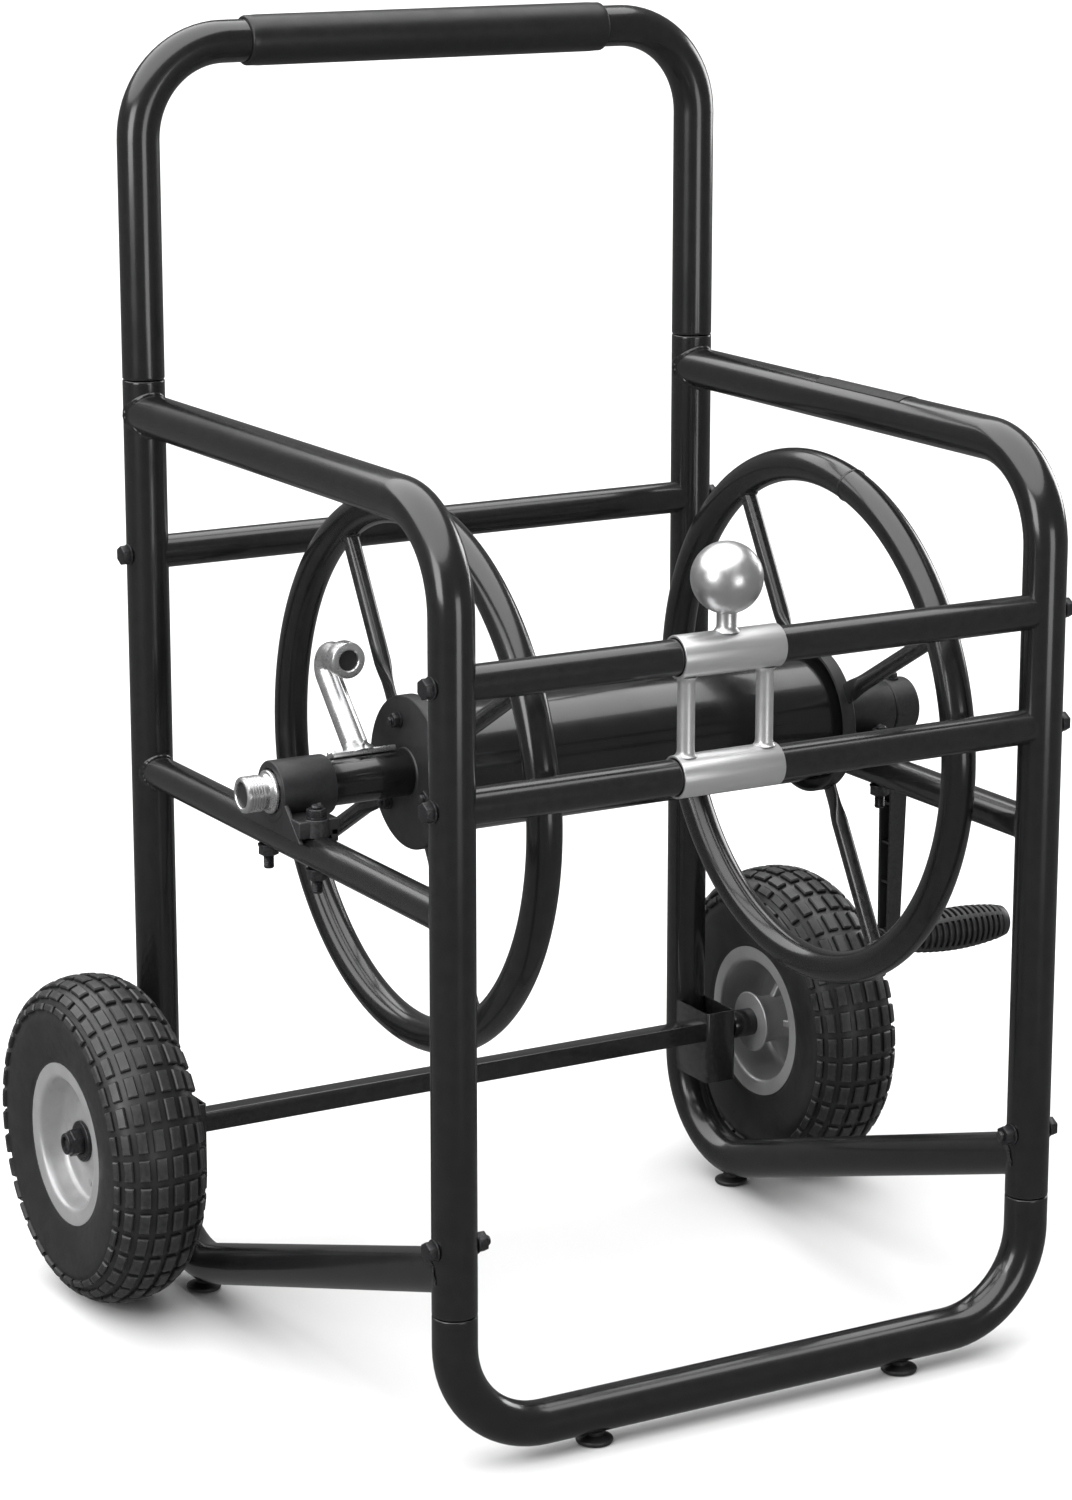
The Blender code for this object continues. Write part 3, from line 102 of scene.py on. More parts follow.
# Rings beside a tube's ends, so that its rounded rim shades cleanly
END_RING = 2.2 * MM


# ---------------------------------------------------------------- modelling by hand

def facing(direction):
    """Rotation that stands a primitive's own Z along a direction."""
    return direction.to_track_quat("Z", "Y").to_euler()


def open_new(add, **how):
    """Add a primitive at its size and place, with nothing else picked, and open it for editing."""
    bpy.ops.object.select_all(action="DESELECT")
    add(**how)
    bpy.ops.object.transform_apply(location=True, rotation=True, scale=True)
    bpy.ops.object.mode_set(mode="EDIT")
    bpy.ops.mesh.select_mode(type="VERT")
    return bpy.context.object


def work_on(piece):
    """Make a piece the only one picked."""
    bpy.ops.object.select_all(action="DESELECT")
    piece.select_set(True)
    bpy.context.view_layer.objects.active = piece


def pick(piece, kind, wanted):
    """Pick the faces, edges or corners whose middle passes a test."""
    bpy.ops.mesh.select_mode(type=kind)
    bpy.ops.mesh.select_all(action="DESELECT")
    mesh = bmesh.from_edit_mesh(piece.data)
    if kind == "FACE":
        for face in mesh.faces:
            face.select_set(wanted(face.calc_center_median(), face.normal))
    elif kind == "EDGE":
        for edge in mesh.edges:
            edge.select_set(wanted((edge.verts[0].co + edge.verts[1].co) / 2, None))
    else:
        for corner in mesh.verts:
            corner.select_set(wanted(corner.co, corner.normal))
    mesh.select_flush_mode()
    bmesh.update_edit_mesh(piece.data)


def push(step):
    bpy.ops.mesh.extrude_region_move(TRANSFORM_OT_translate={"value": step})


def swing(angle, centre, axis, steps):
    """Spin what is picked round an axis, by the right-hand rule."""
    bpy.ops.mesh.spin(steps=steps, angle=-angle, center=centre, axis=axis)


def close_up(piece):
    """Merge seams, fill open ends, point every face outwards and leave the mesh."""
    bpy.ops.mesh.select_mode(type="VERT")
    bpy.ops.mesh.select_all(action="SELECT")
    bpy.ops.mesh.remove_doubles(threshold=0.01 * MM)
    bpy.ops.mesh.fill_holes(sides=0)
    bpy.ops.mesh.normals_make_consistent(inside=False)
    bpy.ops.object.mode_set(mode="OBJECT")
    return piece


def soften(piece, width, segments=3, angle=32):
    """Round a piece's sharp edges over."""
    work_on(piece)
    bevel = piece.modifiers.new("rounding", "BEVEL")
    bevel.width = width
    bevel.segments = segments
    bevel.limit_method = "ANGLE"
    bevel.angle_limit = math.radians(angle)
    bpy.ops.object.modifier_apply(modifier=bevel.name)
    bpy.ops.object.mode_set(mode="EDIT")
    bpy.ops.mesh.select_all(action="SELECT")
    bpy.ops.mesh.remove_doubles(threshold=0.02 * MM)
    bpy.ops.mesh.dissolve_degenerate(threshold=0.02 * MM)
    bpy.ops.object.mode_set(mode="OBJECT")
    return piece


def hoop(radius, sides, centre, heading):
    """A ring of edges that faces along a heading, open for editing."""
    return open_new(bpy.ops.mesh.primitive_circle_add, vertices=sides, radius=radius, fill_type="NOTHING",
                    location=centre, rotation=facing(heading))


def bent_tube(radius, corners, bend_radius=BEND_RADIUS, sides=48, steps=18):
    """A ring stood at the first corner, run straight, and spun round each bend in turn."""
    heading = (corners[1] - corners[0]).normalized()
    piece = hoop(radius, sides, corners[0], heading)
    here = corners[0] + heading * END_RING
    push(heading * END_RING)
    for before, corner, after in zip(corners, corners[1:], corners[2:]):
        arriving, leaving = (corner - before).normalized(), (after - corner).normalized()
        turn = arriving.angle(leaving)
        lead = bend_radius * math.tan(turn / 2)
        start = corner - arriving * lead
        axis = arriving.cross(leaving).normalized()
        push(start - here)
        swing(turn, start + axis.cross(arriving) * bend_radius, axis, steps)
        here = corner + leaving * lead
    heading = (corners[-1] - corners[-2]).normalized()
    push(corners[-1] - heading * END_RING - here)
    push(heading * END_RING)
    return close_up(piece)


def chain(corners):
    """Edges through the corners, all picked and open for editing."""
    piece = open_new(bpy.ops.mesh.primitive_plane_add, size=MM, location=corners[0])
    bpy.ops.mesh.merge(type="CENTER")
    for here, after in zip(corners, corners[1:]):
        bpy.ops.mesh.extrude_vertices_move(TRANSFORM_OT_translate={"value": after - here})
    bpy.ops.mesh.select_all(action="SELECT")
    return piece


def lathe(section, centre, axis, steps=64):
    """Spin a section round its axis. Its corners are (along, radius), in millimetres."""
    side = AXIS_Z if abs(axis.z) < 0.5 else AXIS_X
    piece = chain([centre + (axis * along + side * radius) * MM for along, radius in section])
    swing(FULL_TURN, centre, axis, steps)
    return close_up(piece)


def rounded(middle, radius, start, end, steps=6):
    """Corners of an arc in a lathe section, with angles in degrees from the axis."""
    return [(middle[0] + radius * math.cos(math.radians(start + (end - start) * index / steps)),
             middle[1] + radius * math.sin(math.radians(start + (end - start) * index / steps)))
            for index in range(steps + 1)]


def block(low, high):
    """A block between two corners, left open for editing."""
    low, high = Vector(low), Vector(high)
    return open_new(bpy.ops.mesh.primitive_cube_add, size=1, location=(low + high) / 2, scale=high - low)


def thicken(piece, thickness, offset=0):
    """Leave the mesh and give a sheet its thickness, to both sides or to one."""
    bpy.ops.object.mode_set(mode="OBJECT")
    work_on(piece)
    plate = piece.modifiers.new("plate", "SOLIDIFY")
    plate.thickness = thickness
    plate.offset = offset
    bpy.ops.object.modifier_apply(modifier=plate.name)
    return piece


def band(start, run, centre, axis, angle, steps, thickness):
    """A curved strip: a straight edge from a start, swept round an axis and thickened."""
    piece = chain([start, start + run])
    swing(angle, centre, axis, steps)
    bpy.ops.mesh.select_all(action="SELECT")
    bpy.ops.mesh.normals_make_consistent(inside=False)
    return thicken(piece, thickness)


def hexagon(flats, seat, axis, thickness):
    """A hex head or nut on its seat, with its corners turned down. Sizes are in millimetres."""
    reach = flats * MM / 2 / math.cos(math.pi / 6)
    height = thickness * MM
    piece = open_new(bpy.ops.mesh.primitive_cylinder_add, vertices=6, radius=reach, depth=height,
                     location=seat + axis * (height / 2), rotation=facing(axis))
    pick(piece, "FACE", lambda middle, normal: abs(normal.dot(axis)) > 0.9)
    bpy.ops.mesh.inset(thickness=reach * 0.10, depth=reach * 0.07, use_individual=True)
    close_up(piece)
    return soften(piece, 0.35 * MM, 2, 25)


def joined(*pieces):
    """Several pieces made one object."""
    bpy.ops.object.select_all(action="DESELECT")
    for piece in pieces:
        piece.select_set(True)
    bpy.context.view_layer.objects.active = pieces[0]
    bpy.ops.object.join()
    return pieces[0]


def copied(piece, move):
    """A copy with its own mesh, moved, and its place kept in that mesh."""
    work_on(piece)
    bpy.ops.object.duplicate(linked=False)
    copy = bpy.context.object
    copy.matrix_world = move
    bpy.ops.object.transform_apply(location=True, rotation=True, scale=True)
    return copy


def turned_about(point, axis, angle):
    """The move that turns a piece round an axis through a point."""
    return Matrix.Translation(point) @ Matrix.Rotation(angle, 4, axis) @ Matrix.Translation(-point)


def set_round(piece, centre, angles):
    """Copies of a piece turned to each angle round an axis along X. The piece itself goes."""
    copies = [copied(piece, turned_about(centre, AXIS_X, math.radians(angle))) for angle in angles]
    bpy.data.objects.remove(piece)
    return copies


def finished(piece, name, body, material, slot=None, stands_for=(), sharp=35):
    """Name a piece, give it its finish and shading, and let it ride on its body."""
    piece.name = name
    piece.data.name = name
    piece.data.materials.clear()
    piece.data.materials.append(material)
    work_on(piece)
    bpy.ops.object.shade_smooth_by_angle(angle=math.radians(sharp))
    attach(piece, body)
    if stands_for:
        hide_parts(*stands_for)
    return piece


def on_frame(piece, name, *nodes):
    """Finish a coated piece of the frame."""
    return finished(piece, name, "frame", POWDER, "frame_black", nodes)


# ---------------------------------------------------------------- finishes

def new_finish(name, colour, roughness, metallic=0.0, coat=0.0, coat_roughness=0.03, specular=0.5):
    """A finish with its plain values set on the shader itself."""
    material = bpy.data.materials.new(name)
    material.use_nodes = True
    shader = material.node_tree.nodes["Principled BSDF"]
    shader.inputs["Base Color"].default_value = (*colour, 1)
    shader.inputs["Roughness"].default_value = roughness
    shader.inputs["Metallic"].default_value = metallic
    shader.inputs["Coat Weight"].default_value = coat
    shader.inputs["Coat Roughness"].default_value = coat_roughness
    shader.inputs["Specular IOR Level"].default_value = specular
    return material


def shader_of(material):
    return material.node_tree.nodes["Principled BSDF"]


def tree_of(material):
    return material.node_tree.nodes, material.node_tree.links


def grain(material, size, detail=3.0, stretch=(1, 1, 1)):
    """Noise with lumps about `size` mm across, laid in the cart's own frame."""
    nodes, links = tree_of(material)
    place = nodes.new("ShaderNodeTexCoord")
    mapping = nodes.new("ShaderNodeMapping")
    mapping.inputs["Scale"].default_value = stretch
    noise = nodes.new("ShaderNodeTexNoise")
    noise.inputs["Scale"].default_value = 1 / (size * MM)
    noise.inputs["Detail"].default_value = detail
    noise.inputs["Roughness"].default_value = 0.5
    links.new(place.outputs["Object"], mapping.inputs["Vector"])
    links.new(mapping.outputs["Vector"], noise.inputs["Vector"])
    return noise.outputs["Fac"]


def pebbles(material, size):
    """Cells about `size` mm across, as on a spark-eroded mould."""
    nodes, links = tree_of(material)
    place = nodes.new("ShaderNodeTexCoord")
    cells = nodes.new("ShaderNodeTexVoronoi")
    cells.inputs["Scale"].default_value = 1 / (size * MM)
    links.new(place.outputs["Object"], cells.inputs["Vector"])
    return cells.outputs["Distance"]


def edges(material, start=0.515, end=0.60):
    """How far a spot stands out as an edge, from 0 to 1."""
    geometry = material.node_tree.nodes.new("ShaderNodeNewGeometry")
    return ranged(material, geometry.outputs["Pointiness"], 0.0, 1.0, start, end)


def ranged(material, source, low, high, start=0.35, end=0.65):
    """A pattern stretched between two values."""
    nodes, links = tree_of(material)
    stretch = nodes.new("ShaderNodeMapRange")
    stretch.inputs["From Min"].default_value = start
    stretch.inputs["From Max"].default_value = end
    stretch.inputs["To Min"].default_value = low
    stretch.inputs["To Max"].default_value = high
    links.new(source, stretch.inputs["Value"])
    return stretch.outputs["Result"]


def times(material, first, second):
    nodes, links = tree_of(material)
    product = nodes.new("ShaderNodeMath")
    product.operation = "MULTIPLY"
    links.new(first, product.inputs[0])
    links.new(second, product.inputs[1])
    return product.outputs["Value"]


def vary_gloss(material, source, low, high):
    """Roughness that wanders between two values."""
    gloss = ranged(material, source, low, high)
    material.node_tree.links.new(gloss, shader_of(material).inputs["Roughness"])


def tint(material, share, colour):
    """Lay a second colour over the finish where a pattern says so."""
    nodes, links = tree_of(material)
    base = shader_of(material).inputs["Base Color"]
    mix = nodes.new("ShaderNodeMix")
    mix.data_type = "RGBA"
    if base.links:
        links.new(base.links[0].from_socket, mix.inputs["A"])
    else:
        mix.inputs["A"].default_value = base.default_value
    mix.inputs["B"].default_value = (*colour, 1)
    links.new(share, mix.inputs["Factor"])
    links.new(mix.outputs["Result"], base)


def emboss(material, source, strength, depth):
    """Raise a pattern out of the surface, on top of any that is there already."""
    nodes, links = tree_of(material)
    normal = shader_of(material).inputs["Normal"]
    bump = nodes.new("ShaderNodeBump")
    bump.inputs["Strength"].default_value = strength
    bump.inputs["Distance"].default_value = depth
    if normal.links:
        links.new(normal.links[0].from_socket, bump.inputs["Normal"])
    links.new(source, bump.inputs["Height"])
    links.new(bump.outputs["Normal"], normal)


def layered(name, colour, roughness, gloss, tints=(), rubbed=None, bumps=(), cells=None, **shader):
    """A finish and its layers. Every grain is (size in mm, detail, stretch), or the start of it.

    gloss is (grain, lowest, highest); a tint is (grain, most of it, colour); rubbed is the size of
    the grain on worn edges, its least and most, and the colour there; a bump is (grain, strength,
    depth in mm), and cells is the same for an eroded skin.
    """
    made = new_finish(name, colour, roughness, **shader)
    pattern, low, high = gloss
    vary_gloss(made, grain(made, *pattern), low, high)
    for pattern, most, second in tints:
        tint(made, ranged(made, grain(made, *pattern), 0.0, most), second)
    if rubbed:
        size, least, most, bare = rubbed
        tint(made, times(made, edges(made), ranged(made, grain(made, size), least, most)), bare)
    if cells:
        size, strength, depth = cells
        emboss(made, pebbles(made, size), strength, depth * MM)
    for pattern, strength, depth in bumps:
        emboss(made, grain(made, *pattern), strength, depth * MM)
    return made


# Powder coat on the frame: faint orange peel, and gloss that wanders a little
POWDER = layered("powder_coat_black", (0.0065, 0.0065, 0.007), 0.22, coat=0.4, coat_roughness=0.09,
                 gloss=((60,), 0.20, 0.26), tints=[((9, 5), 0.5, (0.011, 0.011, 0.0115))],
                 rubbed=(3, 0, 0.5, (0.06, 0.06, 0.062)),
                 bumps=[((3.2, 2), 0.03, 0.2), ((0.5, 2), 0.02, 0.04)])

# Glossy enamel on the drum and its pipes
ENAMEL = layered("enamel_black", (0.005, 0.005, 0.0055), 0.2, coat=0.5, coat_roughness=0.08,
                 gloss=((45,), 0.17, 0.25), tints=[((14, 6), 0.4, (0.008, 0.008, 0.0085))],
                 bumps=[((3.5, 2), 0.05, 0.3)])

# Satin paint on the pressed end discs
DISC = layered("disc_paint_black", (0.014, 0.014, 0.015), 0.38, gloss=((30,), 0.37, 0.47),
               tints=[((6, 6), 0.6, (0.022, 0.022, 0.023))], bumps=[((0.9, 3), 0.14, 0.15)])

# Satin sleeve on the handle, with a fine moulded grain
SLEEVE = layered("grip_sleeve_black", (0.008, 0.008, 0.0085), 0.4, gloss=((22,), 0.34, 0.42),
                 tints=[((5, 6), 0.5, (0.013, 0.013, 0.0135))], cells=(0.9, 0.16, 0.15))

# Moulded plastic with an eroded grain and paler, rubbed edges
PLASTIC = layered("moulded_plastic_black", (0.011, 0.011, 0.012), 0.4, gloss=((16,), 0.39, 0.52),
                  tints=[((4, 5), 0.5, (0.017, 0.017, 0.0185))],
                  rubbed=(2, 0, 0.6, (0.045, 0.045, 0.049)), cells=(0.8, 0.20, 0.12))

# Tyre rubber, with paler dusty patches here and there, and rubbed on the tread
TYRE = layered("tyre_rubber_grey", (0.012, 0.012, 0.0125), 0.42, gloss=((12, 4), 0.36, 0.48),
               tints=[((18, 6), 0.6, (0.019, 0.019, 0.0195))], rubbed=(3, 0.2, 0.8, (0.05, 0.05, 0.051)),
               bumps=[((1.1, 4), 0.10, 0.15), ((7, 2), 0.10, 0.4)])

# Silver-grey wheel paint with fine flake
WHEEL = layered("wheel_paint_silver", (0.36, 0.36, 0.365), 0.42, metallic=0.5, gloss=((14,), 0.34, 0.46),
                tints=[((0.5, 2), 0.6, (0.42, 0.42, 0.425)), ((16, 5), 0.35, (0.29, 0.29, 0.29))],
                bumps=[((1.4, 3), 0.10, 0.15)])

# Bright plated casting: the cast skin shows softly through the plating
PLATED = layered("plated_casting_silver", (0.66, 0.66, 0.665), 0.28, metallic=0.92,
                 gloss=((9, 3), 0.24, 0.34), tints=[((11, 5), 0.4, (0.56, 0.56, 0.565))],
                 bumps=[((5, 2), 0.08, 0.3), ((0.8, 2), 0.04, 0.05)])

# Satin guide tubes, with a fine drawn grain along them
GUIDE = layered("guide_metal_satin", (0.60, 0.60, 0.605), 0.36, metallic=0.8,
                gloss=((2.5, 3, (0.06, 1, 1)), 0.32, 0.41),
                tints=[((8, 4, (0.15, 1, 1)), 0.5, (0.53, 0.53, 0.535))],
                bumps=[((1.0, 2, (0.03, 1, 1)), 0.04, 0.05)])

# Satin ball knob with faint turning marks
KNOB = layered("knob_metal_satin", (0.62, 0.62, 0.625), 0.33, metallic=0.92, gloss=((6, 3), 0.29, 0.37),
               tints=[((13, 4), 0.4, (0.55, 0.55, 0.555))], bumps=[((0.8, 2, (0.1, 0.1, 1)), 0.03, 0.04)])

# Blackened bolts and nuts, bright where their corners have rubbed
BOLT = layered("bolt_steel_black", (0.020, 0.020, 0.022), 0.34, metallic=0.55, gloss=((2.5, 4), 0.26, 0.42),
               rubbed=(1.5, 0.2, 0.9, (0.08, 0.08, 0.083)), bumps=[((0.7, 3), 0.10, 0.08)])

# Blank black film, also used for dark plugs just inside open bores as painted shade
FILM_AND_BORE_SHADE = layered("film_and_bore_shade_black", (0.012, 0.012, 0.013), 0.55, gloss=((4, 3), 0.48, 0.60),
               tints=[((2, 4), 0.5, (0.018, 0.018, 0.019))], bumps=[((0.6, 2), 0.08, 0.05)])


# ---------------------------------------------------------------- bolts and welds
# Sizes of bolts, nuts and washers are in millimetres.

WASHER_PLATE = 1.4


def threaded_end(radius, start, axis, length, pitch=1.25):
    """A bolt's threaded end: ring after ring of thread, and a turned-down tip."""
    section = [(0, 0), (0, radius)]
    along = 0.0
    while along < length - 1.5 * pitch:
        section += [(along + pitch * 0.15, radius), (along + pitch * 0.55, radius - pitch * 0.45)]
        along += pitch
    section += [(length - pitch, radius), (length, radius - pitch * 0.6), (length, 0)]
    return lathe(section, start, axis, 24)


def washer(seat, axis, inner, outer, thickness):
    ring = lathe([(0, inner), (0, outer), (thickness, outer), (thickness, inner), (0, inner)], seat, axis, 40)
    return soften(ring, 0.3 * MM, 2)


def bolt_head(seat, axis, flats=13, thickness=5.5, washer_radius=8):
    """A hex head on its washer, standing on a seat."""
    dimple = [(0, 0), (0, flats * 0.30), (0.3, flats * 0.28), (0.3, 0)]
    return joined(washer(seat, axis, flats * 0.33, washer_radius, WASHER_PLATE),
                  hexagon(flats, seat + axis * WASHER_PLATE * MM, axis, thickness),
                  lathe(dimple, seat + axis * (WASHER_PLATE + thickness * 1.02) * MM, axis, 24))


def bolt_nut(seat, axis, tail, flats=13, thickness=6.5, radius=4, washer_radius=8):
    """A nut on its washer with the bolt's end standing out of it."""
    raised = seat + axis * WASHER_PLATE * MM
    return joined(washer(seat, axis, radius, washer_radius, WASHER_PLATE),
                  hexagon(flats, raised, axis, thickness),
                  threaded_end(radius, raised, axis, thickness + tail))


def weld_bead(centre, direction, tube_radius, host_radius, host_axis, thickness=1.5 * MM):
    """A bead round the end of a tube, saddled over the tube that it is welded to."""
    across = direction.cross(host_axis).normalized()
    bead = open_new(bpy.ops.mesh.primitive_torus_add, major_segments=96, minor_segments=10,
                    major_radius=tube_radius + thickness * 0.3, minor_radius=thickness,
                    location=centre, rotation=facing(direction))
    bpy.ops.object.mode_set(mode="OBJECT")
    up = direction.cross(across)
    for corner in bead.data.vertices:
        offset = corner.co - centre
        side, along = offset.dot(across), offset.dot(up)
        saddle = math.sqrt(max(host_radius ** 2 - side ** 2, 0.0))
        ripple = 0.14 * thickness * math.sin(24 * math.atan2(side, along))
        corner.co += direction * (saddle + ripple)
    return bead


# ---------------------------------------------------------------- frame

def make_loop(name, node, y, seam, height):
    """A tube from the left seam to a height, across the cart, and back to the right seam."""
    corners = [Vector((x, y, z)) for x, z in ((LEFT_X, seam), (LEFT_X, height), (RIGHT_X, height),
                                              (RIGHT_X, seam))]
    on_frame(soften(bent_tube(MAIN_RADIUS, corners), TUBE_ROUNDING), name, node)


def make_sleeve():
    """Sleeve on the handle, with rounded lips and ends that swell a little."""
    half, inner, outer = 154.5, 16.1, 19
    lip = outer - 2.3
    section = [(-half, inner), *rounded((-half + 2, lip), 2, 180, 100, 5),
               (-half + 6, outer - 0.25), (-half + 11, outer), (half - 11, outer), (half - 6, outer - 0.25),
               *rounded((half - 2, lip), 2, 80, 0, 5), (half, inner), (-half, inner)]
    sleeve = lathe(section, Vector((MIDDLE_X, REAR_Y, HANDLE_HEIGHT)), AXIS_X)
    finished(sleeve, "handle_sleeve", "frame", SLEEVE, "grip_sleeve", ["handle_grip"])


def make_side(name):
    """One side frame: rear post with its lower bar, front post with its armrest, mid rail, welds."""
    x = POST_X[name]
    turn = math.pi / 2 + LOWER_BAR_RISE
    corner = LOW_TUBE_HEIGHT + REAR_BEND_RADIUS * (1 - math.tan(turn / 2))
    meeting = corner + (REAR_Y - FRONT_Y) * math.tan(LOWER_BAR_RISE)

    def spots(*places):
        return [Vector((x, y, z)) for y, z in places]

    rear = bent_tube(MAIN_RADIUS, spots((REAR_Y, HANDLE_SEAM - SEAM_GAP), (REAR_Y, corner),
                                        (FRONT_Y, meeting)), REAR_BEND_RADIUS, steps=22)
    on_frame(soften(rear, TUBE_ROUNDING), "post_rear_" + name, "rear_post_" + name)
    front = bent_tube(MAIN_RADIUS, spots((REAR_Y, ARMREST_HEIGHT), (FRONT_Y, ARMREST_HEIGHT),
                                         (FRONT_Y, BASE_SEAM + SEAM_GAP)))
    on_frame(soften(front, TUBE_ROUNDING), "post_front_" + name, "front_post_" + name)
    rail = bent_tube(BAR_RADIUS, spots((REAR_Y, MID_RAIL_HEIGHT), (FRONT_Y, MID_RAIL_HEIGHT)))
    on_frame(rail, "rail_" + name, "mid_rail_" + name)

    low_bar = Vector((0, math.cos(LOWER_BAR_RISE), -math.sin(LOWER_BAR_RISE)))
    beads = [weld_bead(Vector((x, y, z)), direction, radius, MAIN_RADIUS, AXIS_Z)
             for y, z, direction, radius in ((REAR_Y, ARMREST_HEIGHT, -AXIS_Y, MAIN_RADIUS),
                                             (REAR_Y, MID_RAIL_HEIGHT, -AXIS_Y, BAR_RADIUS),
                                             (FRONT_Y, MID_RAIL_HEIGHT, AXIS_Y, BAR_RADIUS),
                                             (FRONT_Y, meeting, low_bar, MAIN_RADIUS))]
    on_frame(joined(*beads), "side_welds_" + name)


def make_cross_bars():
    """The rear bar and the two guide bars, with the bolts that hold them."""
    for name, y, height, node in (("bar_rear", REAR_Y, REAR_BAR_HEIGHT, "rear_cross_bar"),
                                  ("bar_guide_upper", FRONT_Y, UPPER_GUIDE_HEIGHT, "guide_bar_upper"),
                                  ("bar_guide_lower", FRONT_Y, LOWER_GUIDE_HEIGHT, "guide_bar_lower")):
        bar = bent_tube(BAR_RADIUS, [Vector((LEFT_X, y, height)), Vector((RIGHT_X, y, height))])
        on_frame(bar, name, node)
        for side in SIDES:
            out = AXIS_X * OUTWARD[side]
            seat = Vector((POST_X[side], y, height)) + out * (MAIN_RADIUS - BOLT_SINK)
            finished(bolt_head(seat, out), f"bolt_{name}_{side}", "frame", BOLT, "dark_steel")


def make_base_bolts():
    for side in SIDES:
        out = AXIS_X * OUTWARD[side]
        middle = Vector((POST_X[side], FRONT_Y, BASE_BOLT_HEIGHT))
        head = bolt_head(middle + out * (MAIN_RADIUS - BOLT_SINK), out)
        nut = bolt_nut(middle - out * (MAIN_RADIUS - BOLT_SINK), -out, 3.5)
        finished(joined(head, nut), "bolt_base_" + side, "frame", BOLT, "dark_steel", ["base_bolt_" + side])


def make_feet():
    """Rubber mushroom feet with a round head, a waist and a washer under the tube."""
    section = [(0, 0), (0, 10.5), *rounded((2.2, 11.3), 2.2, 180, 50, 6), (4.9, 10), (5.6, 7.6), (6.2, 6.6),
               (8.6, 6.4), (8.6, 0)]
    for side in SIDES:
        spots = {"front": Vector((POST_X[side] - OUTWARD[side] * 112 * MM, FRONT_Y, 0)),
                 "rear": Vector((POST_X[side], REAR_Y - REAR_BEND_RADIUS, 0))}
        for end, spot in spots.items():
            finished(lathe(section, spot, AXIS_Z, 48), f"foot_{end}_{side}_rubber", "frame", PLASTIC,
                     "moulded_black", [f"foot_{end}_{side}"])


def make_bracket(name):
    """Folded channel that carries the axle: a block opened at back, top and bottom, then thickened."""
    x = POST_X[name]
    near = 1 * MM
    piece = block((x - BRACKET_HALF, BRACKET_FACE, 83 * MM), (x + BRACKET_HALF, REAR_Y - 8 * MM, 143 * MM))
    pick(piece, "FACE", lambda middle, normal: abs(normal.z) > 0.9 or normal.y > 0.9)
    bpy.ops.mesh.delete(type="FACE")
    pick(piece, "EDGE", lambda middle, normal: middle.y < BRACKET_FACE + near
         and abs(abs(middle.x - x) - BRACKET_HALF) < near)
    bpy.ops.mesh.bevel(offset=2.6 * MM, segments=5, affect="EDGES")
    thicken(piece, 2 * MM, -1)
    soften(piece, 0.35 * MM, 2, 50)
    on_frame(piece, "bracket_" + name, "axle_bracket_" + name)


def make_axle():
    """Square bar with round spindles turned on its ends."""
    half, past = 8 * MM, BRACKET_HALF + 1.5 * MM
    bar = block((LEFT_X - past, AXLE_Y - half, WHEEL_RADIUS - half),
                (RIGHT_X + past, AXLE_Y + half, WHEEL_RADIUS + half))
    bpy.ops.object.mode_set(mode="OBJECT")
    soften(bar, 1.1 * MM, 4)
    end = (RIGHT_X - MIDDLE_X + WHEEL_OFFSET) / MM + 29.5
    spindle = lathe([(-end, 0), (-end, 4.8), (-end + 1, 5.8), (end - 1, 5.8), (end, 4.8), (end, 0)],
                    Vector((MIDDLE_X, AXLE_Y, WHEEL_RADIUS)), AXIS_X, 32)
    on_frame(joined(bar, spindle), "axle_bar", "wheel_axle")


# ---------------------------------------------------------------- wheels

TREAD_ROWS = 36
GROOVE_SHARE = 0.24         # of a row's pitch
LUGS = ((2.3, 10.6), (15.0, 23.2), (27.4, 34.4), (38.4, 43.6))  # mm of arc from the crown
LUG_RISE = 3.2 * MM
SHOULDER_ARC = 46.0         # mm of arc from the crown, where the tread ends
TREAD_FLOOR = 100 * MM      # all lugs stand outside this radius
TYRE_MIDDLE = 95 * MM
TYRE_HALF_WIDTH = 36.5 * MM
TYRE_FULLNESS = 2.25        # 2 would be a plain ellipse

# The sidewall down to the bead, and the rim: half width and radius, in millimetres
SIDEWALL = ((36.35, 101), (36.5, 95), (36.3, 89), (35.7, 83), (34.8, 77.5), (33.7, 72.5), (32.7, 68),
            (32.3, 66.4), (31.6, 65.2), (31.3, 63.4), (29.4, 62.2))
RIM_OUTER_FACE = [(31, 63), (31, 54.5), (30.6, 52.6), (29.4, 51.2), (27.5, 50.4), (24, 49.9), (15.5, 48.4),
                  (12.6, 47.2), (11.1, 45), (10.7, 41.5), (11.2, 37), (12.4, 31), (14.2, 25.5), (15.4, 21.5),
                  (15.8, 18), (15.8, 6.4)]
RIM_INNER_FACE = [(-35, 6.4), (-35, 22.6), (-35.3, 24.2), (-34.6, 25), (-33.4, 24.8), (-31, 22.8),
                  (-27, 20.6), (-20, 19.2), (-10, 19), (-4, 20), (0.5, 22.9), (3.6, 27.5), (5.6, 34),
                  (6.3, 40), (5.4, 44.6), (2.6, 46.9), (-2, 47.9), (-22, 49.6), (-27.5, 50.4),
                  (-29.4, 51.2), (-30.6, 52.6), (-31, 54.5), (-31, 63)]
RIM_WELL = [(-28.6, 63), (-28.4, 57), (-24, 55.5), (24, 55.5), (28.4, 57), (28.6, 63), (31, 63)]


